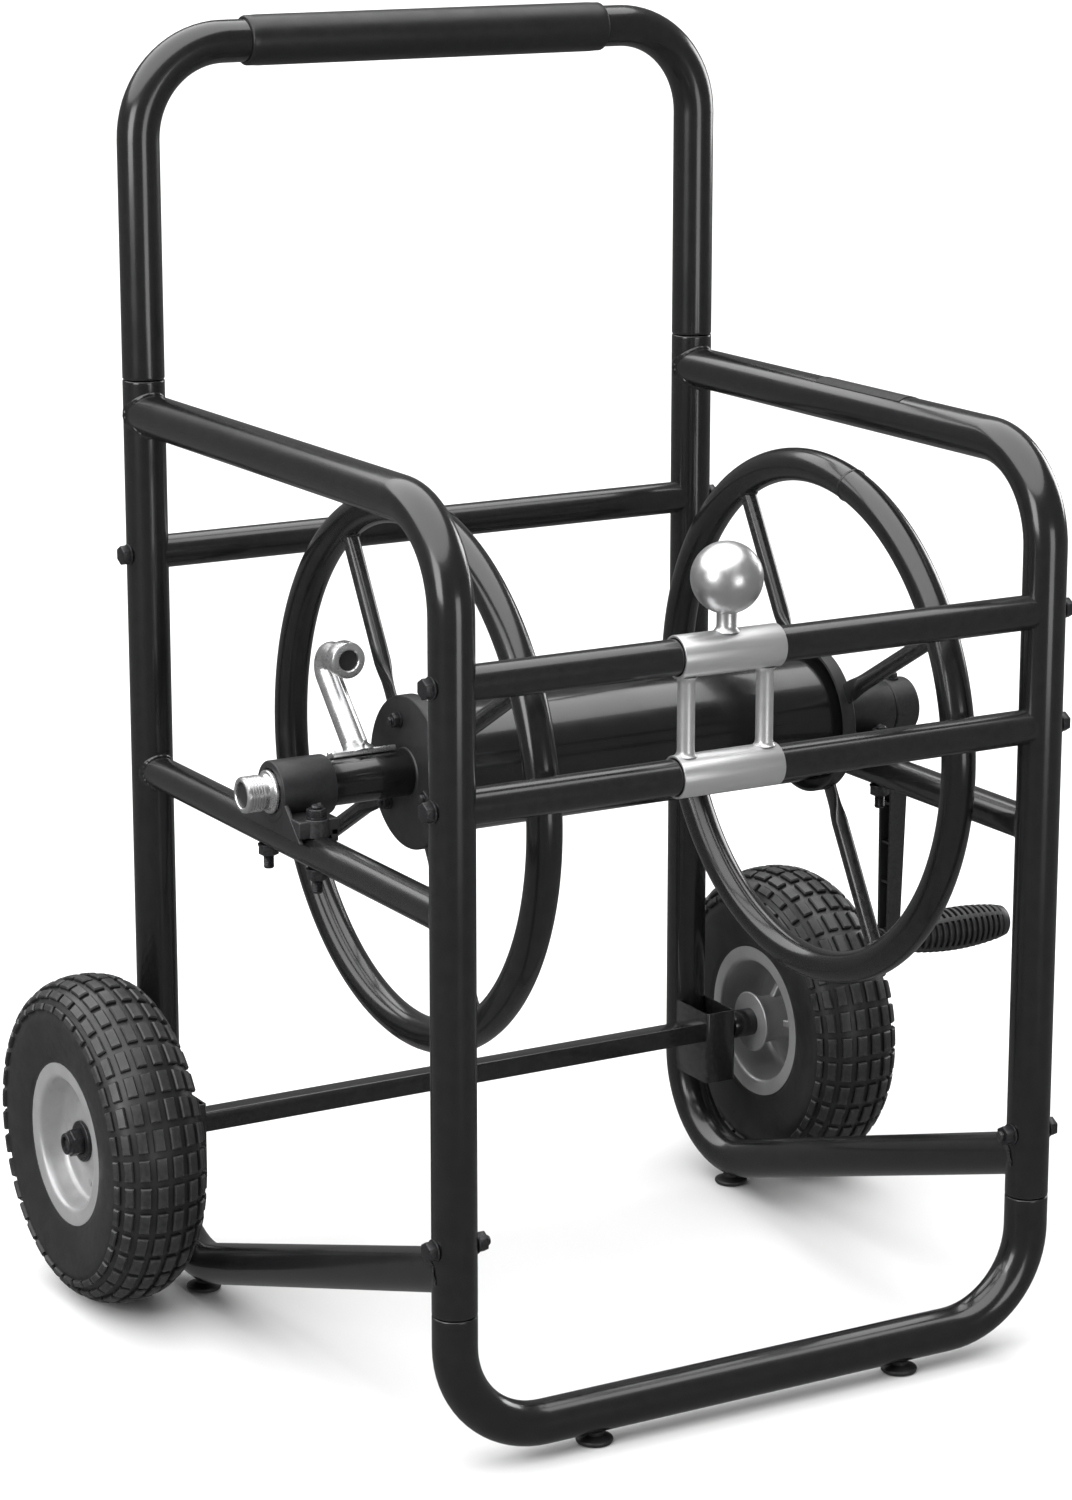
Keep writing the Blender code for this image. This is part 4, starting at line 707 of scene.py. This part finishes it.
def tyre_curve():
    """Where the tyre's skin runs: arc length from the crown, half width and radius there."""
    crown = WHEEL_RADIUS - LUG_RISE - TYRE_MIDDLE
    arc, spots, last = 0.0, [], (0.0, TYRE_MIDDLE + crown)
    for quarter_degree in range(361):
        angle = math.radians(quarter_degree / 4)
        spot = (TYRE_HALF_WIDTH * math.sin(angle) ** (2 / TYRE_FULLNESS),
                TYRE_MIDDLE + crown * math.cos(angle) ** (2 / TYRE_FULLNESS))
        arc += math.dist(spot, last)
        spots.append((arc, *spot))
        last = spot
    return spots


def skin_spot(spots, arc):
    """Half width and radius at an arc length from the crown, given in millimetres."""
    near = min(spots, key=lambda spot: abs(spot[0] - arc * MM))
    return near[1:]


def tyre_section(spots):
    """Half of the tyre's section, from beside the crown round the sidewall to the bead."""
    stops = []
    for start, end in LUGS:
        stops += [start, (start + end) / 2, end]
    half = [skin_spot(spots, stop) for stop in stops + [SHOULDER_ARC]]
    return half + [(x * MM, radius * MM) for x, radius in SIDEWALL]


def make_tyre(centre):
    """One pitch of tread and casing, spun up from the section, then set round the wheel."""
    spots = tyre_curve()
    half = tyre_section(spots)
    section = [(-x, radius) for x, radius in reversed(half)] + half
    corners = [centre + AXIS_X * x + AXIS_Z * radius for x, radius in section]
    piece = chain(corners + corners[:1])
    bpy.ops.mesh.remove_doubles(threshold=0.01 * MM)
    pitch = FULL_TURN / TREAD_ROWS
    groove = pitch * GROOVE_SHARE
    bpy.ops.mesh.select_all(action="SELECT")
    swing(groove, centre, AXIS_X, 1)
    swing(pitch - groove, centre, AXIS_X, 4)

    lug_spans = [(skin_spot(spots, start)[0] - 0.05 * MM, skin_spot(spots, end)[0] + 0.05 * MM)
                 for start, end in LUGS]

    def on_lug(middle, normal):
        offset = middle - centre
        past = math.atan2(-offset.y, offset.z)
        outer = math.hypot(offset.y, offset.z) > TREAD_FLOOR
        return outer and past > groove and any(low < abs(offset.x) < high for low, high in lug_spans)

    bpy.ops.mesh.select_all(action="SELECT")
    bpy.ops.mesh.normals_make_consistent(inside=False)
    pick(piece, "FACE", lambda middle, normal: True)
    crown = max(bmesh.from_edit_mesh(piece.data).faces,
                key=lambda face: (face.calc_center_median() - centre).length)
    if crown.normal.dot(crown.calc_center_median() - centre) < 0:
        bpy.ops.mesh.flip_normals()
    pick(piece, "FACE", on_lug)
    bpy.ops.mesh.extrude_region_shrink_fatten(TRANSFORM_OT_shrink_fatten={"value": LUG_RISE * 0.66})
    bpy.ops.mesh.inset(thickness=0.9 * MM, depth=LUG_RISE * 0.34)
    bpy.ops.mesh.select_all(action="SELECT")
    bpy.ops.mesh.spin(steps=TREAD_ROWS - 1, dupli=True, angle=-(FULL_TURN - pitch),
                      center=centre, axis=AXIS_X)
    return close_up(piece)


def make_rim(centre):
    """The rim with its pressed ribs. Its outer side faces +X here."""
    quarters = (0, 90, 180, 270)
    rim = lathe(RIM_OUTER_FACE + RIM_INNER_FACE + RIM_WELL, centre, AXIS_X, 96)
    rib = block(centre + Vector((-17, -3.2, 15)) * MM, centre + Vector((9, 3.2, 49)) * MM)
    pick(rib, "VERT", lambda spot, normal: spot.x < centre.x and spot.z > centre.z + 30 * MM)
    bpy.ops.transform.translate(value=(19 * MM, 0, -2 * MM))
    bpy.ops.mesh.select_all(action="SELECT")
    bpy.ops.mesh.subdivide(number_cuts=3)
    close_up(rib)
    soften(rib, 2.6 * MM, 4, 50)
    boss = lathe([(9.6, 0), (9.6, 4.6), (12.2, 4.0), (12.9, 0)], centre + AXIS_Z * 33 * MM, AXIS_X, 24)
    return joined(rim, *set_round(rib, centre, quarters), *set_round(boss, centre, quarters))


def make_wheels():
    """The right wheel, whose outer side faces +X, and the left one turned from it."""
    centre = Vector((RIGHT_X + WHEEL_OFFSET, AXLE_Y, WHEEL_RADIUS))
    hub = lathe([(15.6, 6.2), (15.6, 16), (18.4, 16), (19, 15.2), (19, 6.2), (15.6, 6.2)], centre, AXIS_X, 48)
    seat = centre + AXIS_X * 19.3 * MM
    nut = hexagon(19, seat, AXIS_X, 7.6)
    collar = lathe([(7, 6.0), (7, 8.6), (11, 8.4), *rounded((11, 7.4), 1, 80, 0, 4), (12, 5.9), (9.6, 5.6),
                    (7, 6.0)], seat, AXIS_X, 48)
    spacer = lathe([(14, 6), (14, 11.5), (49, 11.5), (49, 6), (14, 6)],
                   Vector((RIGHT_X, AXLE_Y, WHEEL_RADIUS)), AXIS_X, 48)
    parts = {
        "tyre": (make_tyre(centre), TYRE, "tyre_rubber", "wheel", ["tyre"]),
        "rim": (make_rim(centre), WHEEL, "rim_silver", "wheel", ["rim", "wheel_hub"]),
        "hub_flange": (soften(hub, 0.5 * MM, 2), BOLT, "dark_steel", "wheel", []),
        "lock_nut": (joined(nut, collar), BOLT, "dark_steel", "frame", ["axle_nut"]),
        "hub_spacer": (soften(spacer, 0.6 * MM, 2), ENAMEL, "reel_black", "frame", ["axle_spacer"]),
    }
    half_turn = turned_about(Vector((MIDDLE_X, AXLE_Y, 0)), AXIS_Z, math.pi)
    for name, (piece, material, slot, body, nodes) in parts.items():
        other = copied(piece, half_turn)
        for side, made in (("right", piece), ("left", other)):
            rides = body + "_" + side if body == "wheel" else body
            finished(made, f"{name}_{side}_piece", rides, material, slot,
                     [f"{node}_{side}" for node in nodes])


# ---------------------------------------------------------------- reel

def reel_direction(angle):
    """Unit vector away from the reel's axis, at an angle in degrees from the top towards the front."""
    return AXIS_Z * math.cos(math.radians(angle)) - AXIS_Y * math.sin(math.radians(angle))


def on_reel_axis(x):
    return Vector((x, REEL_Y, REEL_HEIGHT))


def make_ring(name):
    """Tube rolled to a ring, with the butt weld where its ends meet."""
    centre = on_reel_axis(RING_X[name])
    start = reel_direction(15)
    spot, heading = centre + start * RING_RADIUS, start.cross(AXIS_X)
    ring = hoop(BAR_RADIUS, 36, spot, heading)
    swing(FULL_TURN, centre, AXIS_X, 160)
    close_up(ring)
    butt = open_new(bpy.ops.mesh.primitive_torus_add, major_segments=64, minor_segments=8,
                    major_radius=BAR_RADIUS - 0.4 * MM, minor_radius=1.1 * MM,
                    location=spot, rotation=facing(heading))
    bpy.ops.object.mode_set(mode="OBJECT")
    finished(joined(ring, butt), "ring_" + name, "reel", POWDER, "frame_black", ["reel_ring_" + name])


def make_spokes(name):
    """One spoke pinched flat at its inner end, and three more turned from it."""
    centre = on_reel_axis(RING_X[name])
    outer_end, pinch_start = 184 * MM, 85 * MM
    spoke = hoop(SPOKE_RADIUS, 28, centre + AXIS_Z * outer_end, AXIS_Z)
    push(AXIS_Z * (pinch_start - outer_end))
    for drop, thin, wide in ((6, 0.86, 1.05), (7, 0.62, 1.12), (7, 0.62, 1.10), (11, 1.0, 1.0)):
        push(-AXIS_Z * drop * MM)
        bpy.ops.transform.resize(value=(thin, wide, 1))
    close_up(spoke)
    bead = weld_bead(centre + AXIS_Z * RING_RADIUS, -AXIS_Z, SPOKE_RADIUS, BAR_RADIUS, AXIS_Y, 1.2 * MM)
    for number, made in enumerate(set_round(joined(spoke, bead), centre, (-30, 60, 150, 240)), 1):
        finished(made, f"spoke_rod_{name}_{number}", "reel", POWDER, "frame_black",
                 [f"spoke_{name}_{number}"])


def make_end_disc(name):
    """Pressed end disc with its rim turned inwards, and three tie bolts through it."""
    face = on_reel_axis(FLANGE_FACE_X[name])
    inward = AXIS_X * -OUTWARD[name]
    bore = PIPE_RADIUS / MM
    disc = lathe([(0, bore), *rounded((1.6, 55.4), 1.6, 180, 90, 5), (11, 57), (11, 54.8), (2.5, 54.4),
                  (2.5, bore), (0, bore)], face, inward, 96)
    collar = lathe([(-0.9, 16.6), (-0.9, 18.2), (0.6, 19.6), (0.6, 16.6)], face, inward, 64)
    finished(joined(disc, collar), "end_disc_" + name, "reel", DISC, "frame_black", ["end_flange_" + name])
    for number, angle in enumerate((-15, 105, 225), 1):
        seat = face + reel_direction(angle) * 39 * MM - inward * 0.1 * MM
        nut = bolt_nut(seat, -inward, 3.2, flats=10, thickness=4.6, radius=3, washer_radius=6.2)
        finished(nut, f"tie_bolt_{name}_{number}", "reel", BOLT, "dark_steel")


def make_drum():
    """Drum, closed between the end discs."""
    disc_plate = 2.6 * MM
    left, right = FLANGE_FACE_X["left"] + disc_plate, FLANGE_FACE_X["right"] - disc_plate
    half = (right - left) / 2 / MM
    drum = lathe([(-half, 40), (-half, 48), (half, 48), (half, 40), (-half, 40)],
                 on_reel_axis((left + right) / 2), AXIS_X, 128)
    finished(drum, "drum_barrel", "reel", ENAMEL, "reel_black", ["reel_drum"])


def make_pipes():
    """Water pipe on the left and drive stub on the right, both turned."""
    in_disc = 9 * MM
    radius, bore = PIPE_RADIUS / MM, 13.7
    start = LEFT_X - 16 * MM
    end = (FLANGE_FACE_X["left"] + in_disc - start) / MM
    pipe = lathe([(0, bore), (0, radius), (end, radius), (end, 0), (30, 0), (30, bore), (0, bore)],
                 on_reel_axis(start), AXIS_X, 96)
    finished(soften(pipe, 0.6 * MM, 2), "pipe_water", "reel", ENAMEL, "reel_black", ["water_pipe"])
    start = FLANGE_FACE_X["right"] - in_disc
    end = (RIGHT_X + 44 * MM - start) / MM
    stub = lathe([(0, 0), (0, radius), (end, radius), (end, 0)], on_reel_axis(start), AXIS_X, 96)
    finished(soften(stub, 0.6 * MM, 2), "stub_drive", "reel", ENAMEL, "reel_black", ["drive_stub"])


def make_gooseneck():
    """Cast outlet: saddle on the pipe, leaning arm with its fin, elbow, and threaded collar."""
    foot_spot = on_reel_axis(LEFT_X + 61 * MM)
    lean = reel_direction(ARM_LEAN)
    elbow = foot_spot + lean * 112 * MM
    mouth = elbow - AXIS_Y * 50 * MM
    arm = bent_tube(9.25 * MM, [foot_spot + lean * 17 * MM, elbow, mouth + AXIS_Y * 13 * MM],
                    bend_radius=10.5 * MM, sides=40, steps=14)
    collar = lathe([(0.7, 7.8), (0, 8.5), (0, 12.2), *rounded((1.3, 12.2), 1.3, 180, 90, 4)[1:], (10, 13.5),
                    (11.5, 13.1), (13.5, 9.8), (15, 7.8), (0.7, 7.8)], mouth, AXIS_Y, 56)
    # Dark plug 2.6 mm inside the outlet's mouth: painted shade standing for the dark bore
    bore_shade = lathe([(2.6, 0), (2.6, 7.9), (10, 7.9), (10, 0)], mouth, AXIS_Y, 40)

    fin = block(foot_spot + Vector((-1.6, 7, 21)) * MM, foot_spot + Vector((1.6, 18, 92)) * MM)
    pick(fin, "VERT", lambda spot, normal: spot.z > foot_spot.z + 60 * MM)
    bpy.ops.transform.resize(value=(1, 0.75, 1), center_override=foot_spot + AXIS_Y * 7 * MM)
    close_up(fin)
    soften(fin, 0.9 * MM, 3, 50)
    fin.matrix_world = (turned_about(foot_spot, lean, math.pi)
                        @ turned_about(foot_spot, AXIS_X, math.radians(ARM_LEAN)))
    work_on(fin)
    bpy.ops.object.transform_apply(location=True, rotation=True, scale=True)

    half_length, half_wrap, plate_middle = 26 * MM, 34, 19.4 * MM
    saddle = band(foot_spot + reel_direction(ARM_LEAN - half_wrap) * plate_middle - AXIS_X * half_length,
                  AXIS_X * 2 * half_length, foot_spot, AXIS_X, math.radians(2 * half_wrap), 14, 4.6 * MM)
    soften(saddle, 1.2 * MM, 3, 50)
    foot = lathe([(17, 0), (17, 14), (22, 12.6), (24.5, 10.4), (28, 9.3), (28, 0)], foot_spot, lean, 48)
    body = joined(arm, collar, fin, saddle, foot)
    finished(body, "gooseneck", "reel", PLATED, "cast_silver", ["outlet_gooseneck"])
    finished(bore_shade, "gooseneck_bore_shade", "reel", FILM_AND_BORE_SHADE, "seal_rubber")

    seat = foot_spot - AXIS_X * 20.5 * MM + lean * 21 * MM
    head = lathe([(1, 0), (1, 3.9), (3.4, 3.5), (3.9, 2.6), (3.9, 1.5), (2.6, 1.2), (2.6, 0)], seat, lean, 32)
    screw = joined(washer(seat, lean, 2, 5, 1), soften(head, 0.2 * MM, 2))
    finished(screw, "saddle_screw", "reel", PLATED, "cast_silver")


def make_inlet():
    """Swivel inlet: flange at the block and a male hose thread with an open bore, with a dark plug just
    inside its mouth as painted shade down the bore.
    """
    face = on_reel_axis(LEFT_X - 17.3 * MM)
    bore, crest, root, pitch = 9.5, 13.3, 12.35, 2.2
    section = [(14, bore), (22.4, bore), (23, 10.1), (23, 11.6), (22.2, 12.9)]
    for turn in range(6):
        along = 21.2 - turn * pitch
        section += [(along - 0.35, crest), (along - 0.85, crest), (along - 1.45, root), (along - 1.95, root)]
    section += [(7.2, 12.3), (5.6, 12.3), (4.6, 12.9), (3.2, 13.6), (2.8, 15.2), (2.2, 15.8), (0.5, 15.8),
                (0, 15.3), (0, 13), (-20, 13), (-20, bore), (14, bore)]
    inlet = lathe(section, face, -AXIS_X, 72)
    finished(inlet, "inlet_thread", "inlet", PLATED, "cast_silver", ["inlet_swivel", "inlet_seal"], 30)
    # Dark plug about 1.5 mm inside the mouth: painted shade standing for the dark bore
    stop = lathe([(4, 0), (4, 9.6), (21, 9.6), (21, 0)], face, -AXIS_X, 40)
    finished(stop, "inlet_bore_shade", "inlet", FILM_AND_BORE_SHADE, "seal_rubber")


# ---------------------------------------------------------------- bearing blocks

def make_block(name):
    """Moulded bearing block: barrel, wall, footed base, gussets, pins and bolts."""
    x = POST_X[name]
    start = x - 17 * MM
    rail_top = MID_RAIL_HEIGHT + BAR_RADIUS
    rise = (REEL_HEIGHT - rail_top) / MM
    origin = on_reel_axis(start)
    corner = Vector((start, REEL_Y, rail_top))
    bolt_reach = 39 * MM

    def slab(low, high):
        return block(corner + Vector(low) * MM, corner + Vector(high) * MM)

    barrel = lathe([(0, 17), *rounded((1.4, 20.9), 1.4, 180, 90, 4), (42, 22.1), (43.4, 21.5), (44, 20.2),
                    (44, 17), (0, 17)], origin, AXIS_X, 80)
    wall = slab((0.4, -45, -4.6), (4, 45, rise - 4))
    pick(wall, "VERT", lambda spot, normal: spot.z > rail_top + 12 * MM)
    bpy.ops.transform.resize(value=(1, 0.44, 1), center_override=origin)
    close_up(wall)
    soften(wall, 1.0 * MM)

    base = slab((1, -44, -1), (33, 44, 10.5))
    pick(base, "FACE", lambda middle, normal: normal.z > 0.9)
    bpy.ops.mesh.inset(thickness=1.2 * MM, depth=0)
    bpy.ops.transform.translate(value=(0, 0, 0.8 * MM))
    close_up(base)
    soften(base, 1.1 * MM, 3, 20)
    skirt = slab((26, -44, -6), (32, 44, 4))
    close_up(skirt)
    soften(skirt, 1.0 * MM, 3, 40)

    parts = [barrel, wall, base, skirt]
    for side in (-1, 1):
        rib = slab((2, side * 10 - 2.2, 6), (40, side * 10 + 2.2, rise - 8))
        pick(rib, "VERT", lambda spot, normal: spot.z < rail_top + 12 * MM and spot.x > start + 20 * MM)
        bpy.ops.transform.translate(value=(-10 * MM, 0, 0))
        close_up(rib)
        parts.append(soften(rib, 0.9 * MM, 3, 40))
        parts.append(lathe([(0, 0), (0, 3.4), (20, 1.6), (22, 0)], corner + Vector((30, side * 24, 9)) * MM,
                           Vector((-0.15, -0.55 * side, 0.82)).normalized(), 24))
        parts.append(lathe([(0, 0), (0, 9.4), (12.2, 9.0), (12.8, 8.4), (12.8, 0)],
                           Vector((x, REEL_Y + side * bolt_reach, rail_top - 1 * MM)), AXIS_Z, 40))
    finished(joined(*parts), "bearing_block_" + name, "frame", PLASTIC, "moulded_black",
             ["pillow_block_" + name])

    for number, side in ((1, -1), (2, 1)):
        spot = Vector((x, REEL_Y + side * bolt_reach, 0))
        head = joined(bolt_head(spot + AXIS_Z * (rail_top + 11.9 * MM), AXIS_Z, 13, 5.2, 7.6),
                      threaded_end(4, spot + AXIS_Z * (rail_top + 17 * MM), AXIS_Z, 4.4))
        nut = bolt_nut(spot + AXIS_Z * (MID_RAIL_HEIGHT - BAR_RADIUS + 0.4 * MM), -AXIS_Z, 10.5)
        finished(joined(head, nut), f"bolt_block_{name}_{number}", "frame", BOLT, "dark_steel",
                 [f"block_bolt_{name}_{number}"])


# ---------------------------------------------------------------- crank

def make_crank():
    """Cast arm: hub on the stub, tapered channel open to the cart, and a boss for the grip."""
    origin = on_reel_axis(RIGHT_X)
    inner, reach = 32, CRANK_RADIUS / MM
    hub = lathe([(27.3, 0), (27.3, 21), (28.3, 22), (46.5, 22), *rounded((46.5, 19.5), 2.5, 90, 0, 5),
                 (49, 0)], origin, AXIS_X, 80)
    arm = block(origin + Vector((inner, -9, -reach)) * MM, origin + Vector((inner + 17, 9, -12)) * MM)
    pick(arm, "VERT", lambda spot, normal: spot.z < origin.z - CRANK_RADIUS / 2)
    bpy.ops.transform.resize(value=(0.72, 0.78, 1), center_override=origin + AXIS_X * inner * MM)
    pick(arm, "FACE", lambda middle, normal: normal.x < -0.9)
    bpy.ops.mesh.inset(thickness=2.6 * MM, depth=0)
    push(AXIS_X * 8.5 * MM)
    bpy.ops.transform.resize(value=(1, 0.9, 0.985))
    close_up(arm)
    soften(arm, 0.9 * MM, 3, 30)
    pin = origin - AXIS_Z * CRANK_RADIUS
    boss = lathe([(-1, 0), (-1, 9.2), (0, 10), (13, 10), (14, 9.2), (14, 0)], pin + AXIS_X * inner * MM,
                 AXIS_X, 48)
    parts = [hub, arm, boss]
    for height in (-46, -78, -110, -142):
        rib = block(origin + Vector((inner + 1.5, -6.4, height - 1.1)) * MM,
                    origin + Vector((inner + 11, 6.4, height + 1.1)) * MM)
        close_up(rib)
        parts.append(soften(rib, 0.4 * MM, 2, 40))
    finished(joined(*parts), "crank_casting", "reel", PLASTIC, "moulded_black", ["crank_arm"])

    top = origin + Vector((36, 0, 21.8)) * MM
    screw = joined(washer(top, AXIS_Z, 2, 5.6, 1), hexagon(8, top + AXIS_Z * 1 * MM, AXIS_Z, 3.4))
    finished(screw, "hub_screw", "reel", BOLT, "dark_steel")
    nut = bolt_nut(pin + AXIS_X * (inner - 0.9) * MM, -AXIS_X, 2, thickness=6, washer_radius=7.6)
    seat = GRIP_START + GRIP_LENGTH - 9
    head = lathe([(0, 0), (0, 7), (3, 7), *rounded((2.6, 5.6), 1.4, 90, 0, 4), (4, 3), (2.2, 2.6), (2.2, 0)],
                 pin + AXIS_X * seat * MM, AXIS_X, 40)
    shaft = lathe([(45, 0), (45, 4), (seat + 1, 4), (seat + 1, 0)], pin, AXIS_X, 24)
    finished(joined(nut, head, shaft), "grip_pin", "reel", BOLT, "dark_steel", ["crank_pin"])


def grip_radius(along):
    """Radius of the grip's barrel in millimetres, at a distance from its start."""
    return 12.0 + 5.25 * math.sin(math.pi * min(max(along / GRIP_LENGTH, 0), 1)) ** 0.8


def make_crank_grip():
    """Barrel grip: a core with raised rings, and strips that run along it."""
    start = on_reel_axis(RIGHT_X + GRIP_START * MM) - AXIS_Z * CRANK_RADIUS
    bore, head_bore = 4.4, 7.6
    section = [(0, bore), (0, 11.2), (0.8, 12.2), (4.5, grip_radius(4.5))]
    along = 5.5
    while along < GRIP_LENGTH - 9:
        ring = grip_radius(along + 1.6)
        core = ring - 2.5
        section += [(along, core), (along + 0.9, core), (along + 1.3, ring - 0.4), (along + 1.9, ring),
                    (along + 3.4, ring), (along + 4.0, ring - 0.4), (along + 4.4, core)]
        along += 5.6
    section += [(along + 0.6, grip_radius(along)), (GRIP_LENGTH - 1, 12.2), (GRIP_LENGTH, 11.2),
                (GRIP_LENGTH, head_bore), (GRIP_LENGTH - 8.5, head_bore), (GRIP_LENGTH - 8.5, bore),
                (0, bore)]
    grip = lathe(section, start, AXIS_X, 64)

    first, stops = 4, (12, 22, 34, 48, 62, 74, 84, 92)
    outline = [(first, grip_radius(first))] + [(stop, grip_radius(stop) + 0.05) for stop in stops]
    outline += [(stop, grip_radius(stop) - 3.4) for stop in (*stops[::-1], first)] + outline[:1]
    strip = chain([start + Vector((stop, 0, radius)) * MM for stop, radius in outline])
    swing(math.radians(12), start, AXIS_X, 3)
    close_up(strip)
    strips = set_round(strip, start, (38, 128, 218, 308))
    finished(joined(grip, *strips), "crank_barrel_grip", "crank_grip", PLASTIC, "moulded_black",
             ["crank_grip"])


# ---------------------------------------------------------------- hose guide

def make_guide():
    """Two sleeves on the guide bars, the rods between them, and the ball knob."""
    half, bore, outer = 41, 13.4, 15.1
    upper = Vector((GUIDE_X, FRONT_Y, UPPER_GUIDE_HEIGHT))
    lower = Vector((GUIDE_X, FRONT_Y, LOWER_GUIDE_HEIGHT))
    sleeve = lathe([(-half, bore), (-half, outer), (half, outer), (half, bore), (-half, bore)],
                   upper, AXIS_X, 80)
    soften(sleeve, 0.35 * MM, 3)
    parts = [sleeve, copied(sleeve, Matrix.Translation(lower - upper))]
    rise = (UPPER_GUIDE_HEIGHT - LOWER_GUIDE_HEIGHT) / MM
    rod_end = [(14.2, 0), (14.2, 8.2), (15.2, 7.2), (16.8, 6.4), (18.5, 6.2)]
    rod = rod_end + [(rise - along, radius) for along, radius in reversed(rod_end)]
    for side in (-1, 1):
        parts.append(lathe(rod, lower + AXIS_X * side * 32 * MM, AXIS_Z, 40))
    finished(joined(*parts), "guide_slider", "hose_guide", GUIDE, "guide_silver", ["hose_guide"])

    ball, radius, neck_radius = 51.45, 25.25, 7
    section = [(13.9, 0), (13.9, 9.4), (15.1, 8.4), (16.6, 7.4), (18.4, neck_radius)]
    neck = math.degrees(math.asin(neck_radius / radius))
    section += rounded((ball, 0), radius, 180 - neck, 0, 32)
    finished(lathe(section, upper, AXIS_Z, 80), "knob_ball", "hose_guide", KNOB, "guide_silver",
             ["guide_knob"])


def make_blank_strip():
    """A blank film strip wrapped over the top of the right armrest."""
    half_wrap = 0.62
    edge = AXIS_Z * math.cos(half_wrap) + AXIS_X * math.sin(half_wrap)
    strip = band(Vector((RIGHT_X, FRONT_Y + 173 * MM, ARMREST_HEIGHT)) + edge * 16.2 * MM, AXIS_Y * 113 * MM,
                 Vector((RIGHT_X, REAR_Y, ARMREST_HEIGHT)), AXIS_Y, -2 * half_wrap, 12, 0.5 * MM)
    finished(strip, "armrest_strip", "frame", FILM_AND_BORE_SHADE, "grip_sleeve")


# ---------------------------------------------------------------- studio

SOFT_BOXES = {  # place, size in metres and power in watts
    "left": (Vector((-2.6, -0.8, 1.2)), 1.2, 26),
    "front": (Vector((0.3, -4.2, 0.5)), 1.6, 26),
    "right": (Vector((2.8, 0.6, 1.2)), 1.2, 22),
}


def make_studio():
    """Plain pale floor, soft light from overhead and all round, and three soft boxes."""
    bpy.ops.object.select_all(action="DESELECT")
    bpy.ops.mesh.primitive_plane_add(size=60, location=(0, 0, -0.2 * MM))
    floor = bpy.context.object
    floor.name = "studio_floor"
    pale = new_finish("studio_white", (0.78, 0.78, 0.78), 0.75)
    emboss(pale, grain(pale, 40, 2), 0.02, 0.2 * MM)
    floor.data.materials.append(pale)
    floor.visible_glossy = False

    world = bpy.data.worlds.new("studio")
    world.use_nodes = True
    world.node_tree.nodes["Background"].inputs["Color"].default_value = (1, 1, 1, 1)
    world.node_tree.nodes["Background"].inputs["Strength"].default_value = 0.18
    bpy.context.scene.world = world

    bpy.ops.object.light_add(type="SUN", location=(0, 0, 4),
                             rotation=(math.radians(-8), math.radians(-14), 0))
    overhead = bpy.context.object.data
    overhead.name = "overhead_soft_light"
    overhead.energy = 5.6
    overhead.angle = math.radians(104)
    for name, (spot, size, power) in SOFT_BOXES.items():
        bpy.ops.object.light_add(type="AREA", location=spot)
        light = bpy.context.object
        light.name = "soft_box_" + name
        light.rotation_euler = facing(spot - Vector((0, 0, 0.5)))
        light.data.shape = "SQUARE"
        light.data.size = size
        light.data.energy = power

    bpy.ops.object.camera_add(location=(-1.5385, -2.5996, 1.1721))
    camera = bpy.context.object
    yaw, pitch = math.radians(29.868), math.radians(13.846)
    camera.rotation_euler = (math.pi / 2 - pitch, 0, -yaw)
    camera.data.lens = 98.9
    camera.data.sensor_width = 36
    camera.data.clip_start = 0.1
    camera.data.clip_end = 200
    bpy.context.scene.camera = camera
    bpy.context.scene.view_settings.view_transform = "Standard"


make_loop("handle_bow", "handle_tube", REAR_Y, HANDLE_SEAM + SEAM_GAP, HANDLE_HEIGHT)
make_sleeve()
for side_name in SIDES:
    make_side(side_name)
    make_bracket(side_name)
    make_block(side_name)
    make_ring(side_name)
    make_spokes(side_name)
    make_end_disc(side_name)
make_loop("base_loop", "front_base_tube", FRONT_Y, BASE_SEAM - SEAM_GAP, LOW_TUBE_HEIGHT)
make_cross_bars()
make_base_bolts()
make_feet()
make_axle()
make_wheels()
make_drum()
make_pipes()
make_gooseneck()
make_inlet()
make_crank()
make_crank_grip()
make_guide()
make_blank_strip()
make_studio()
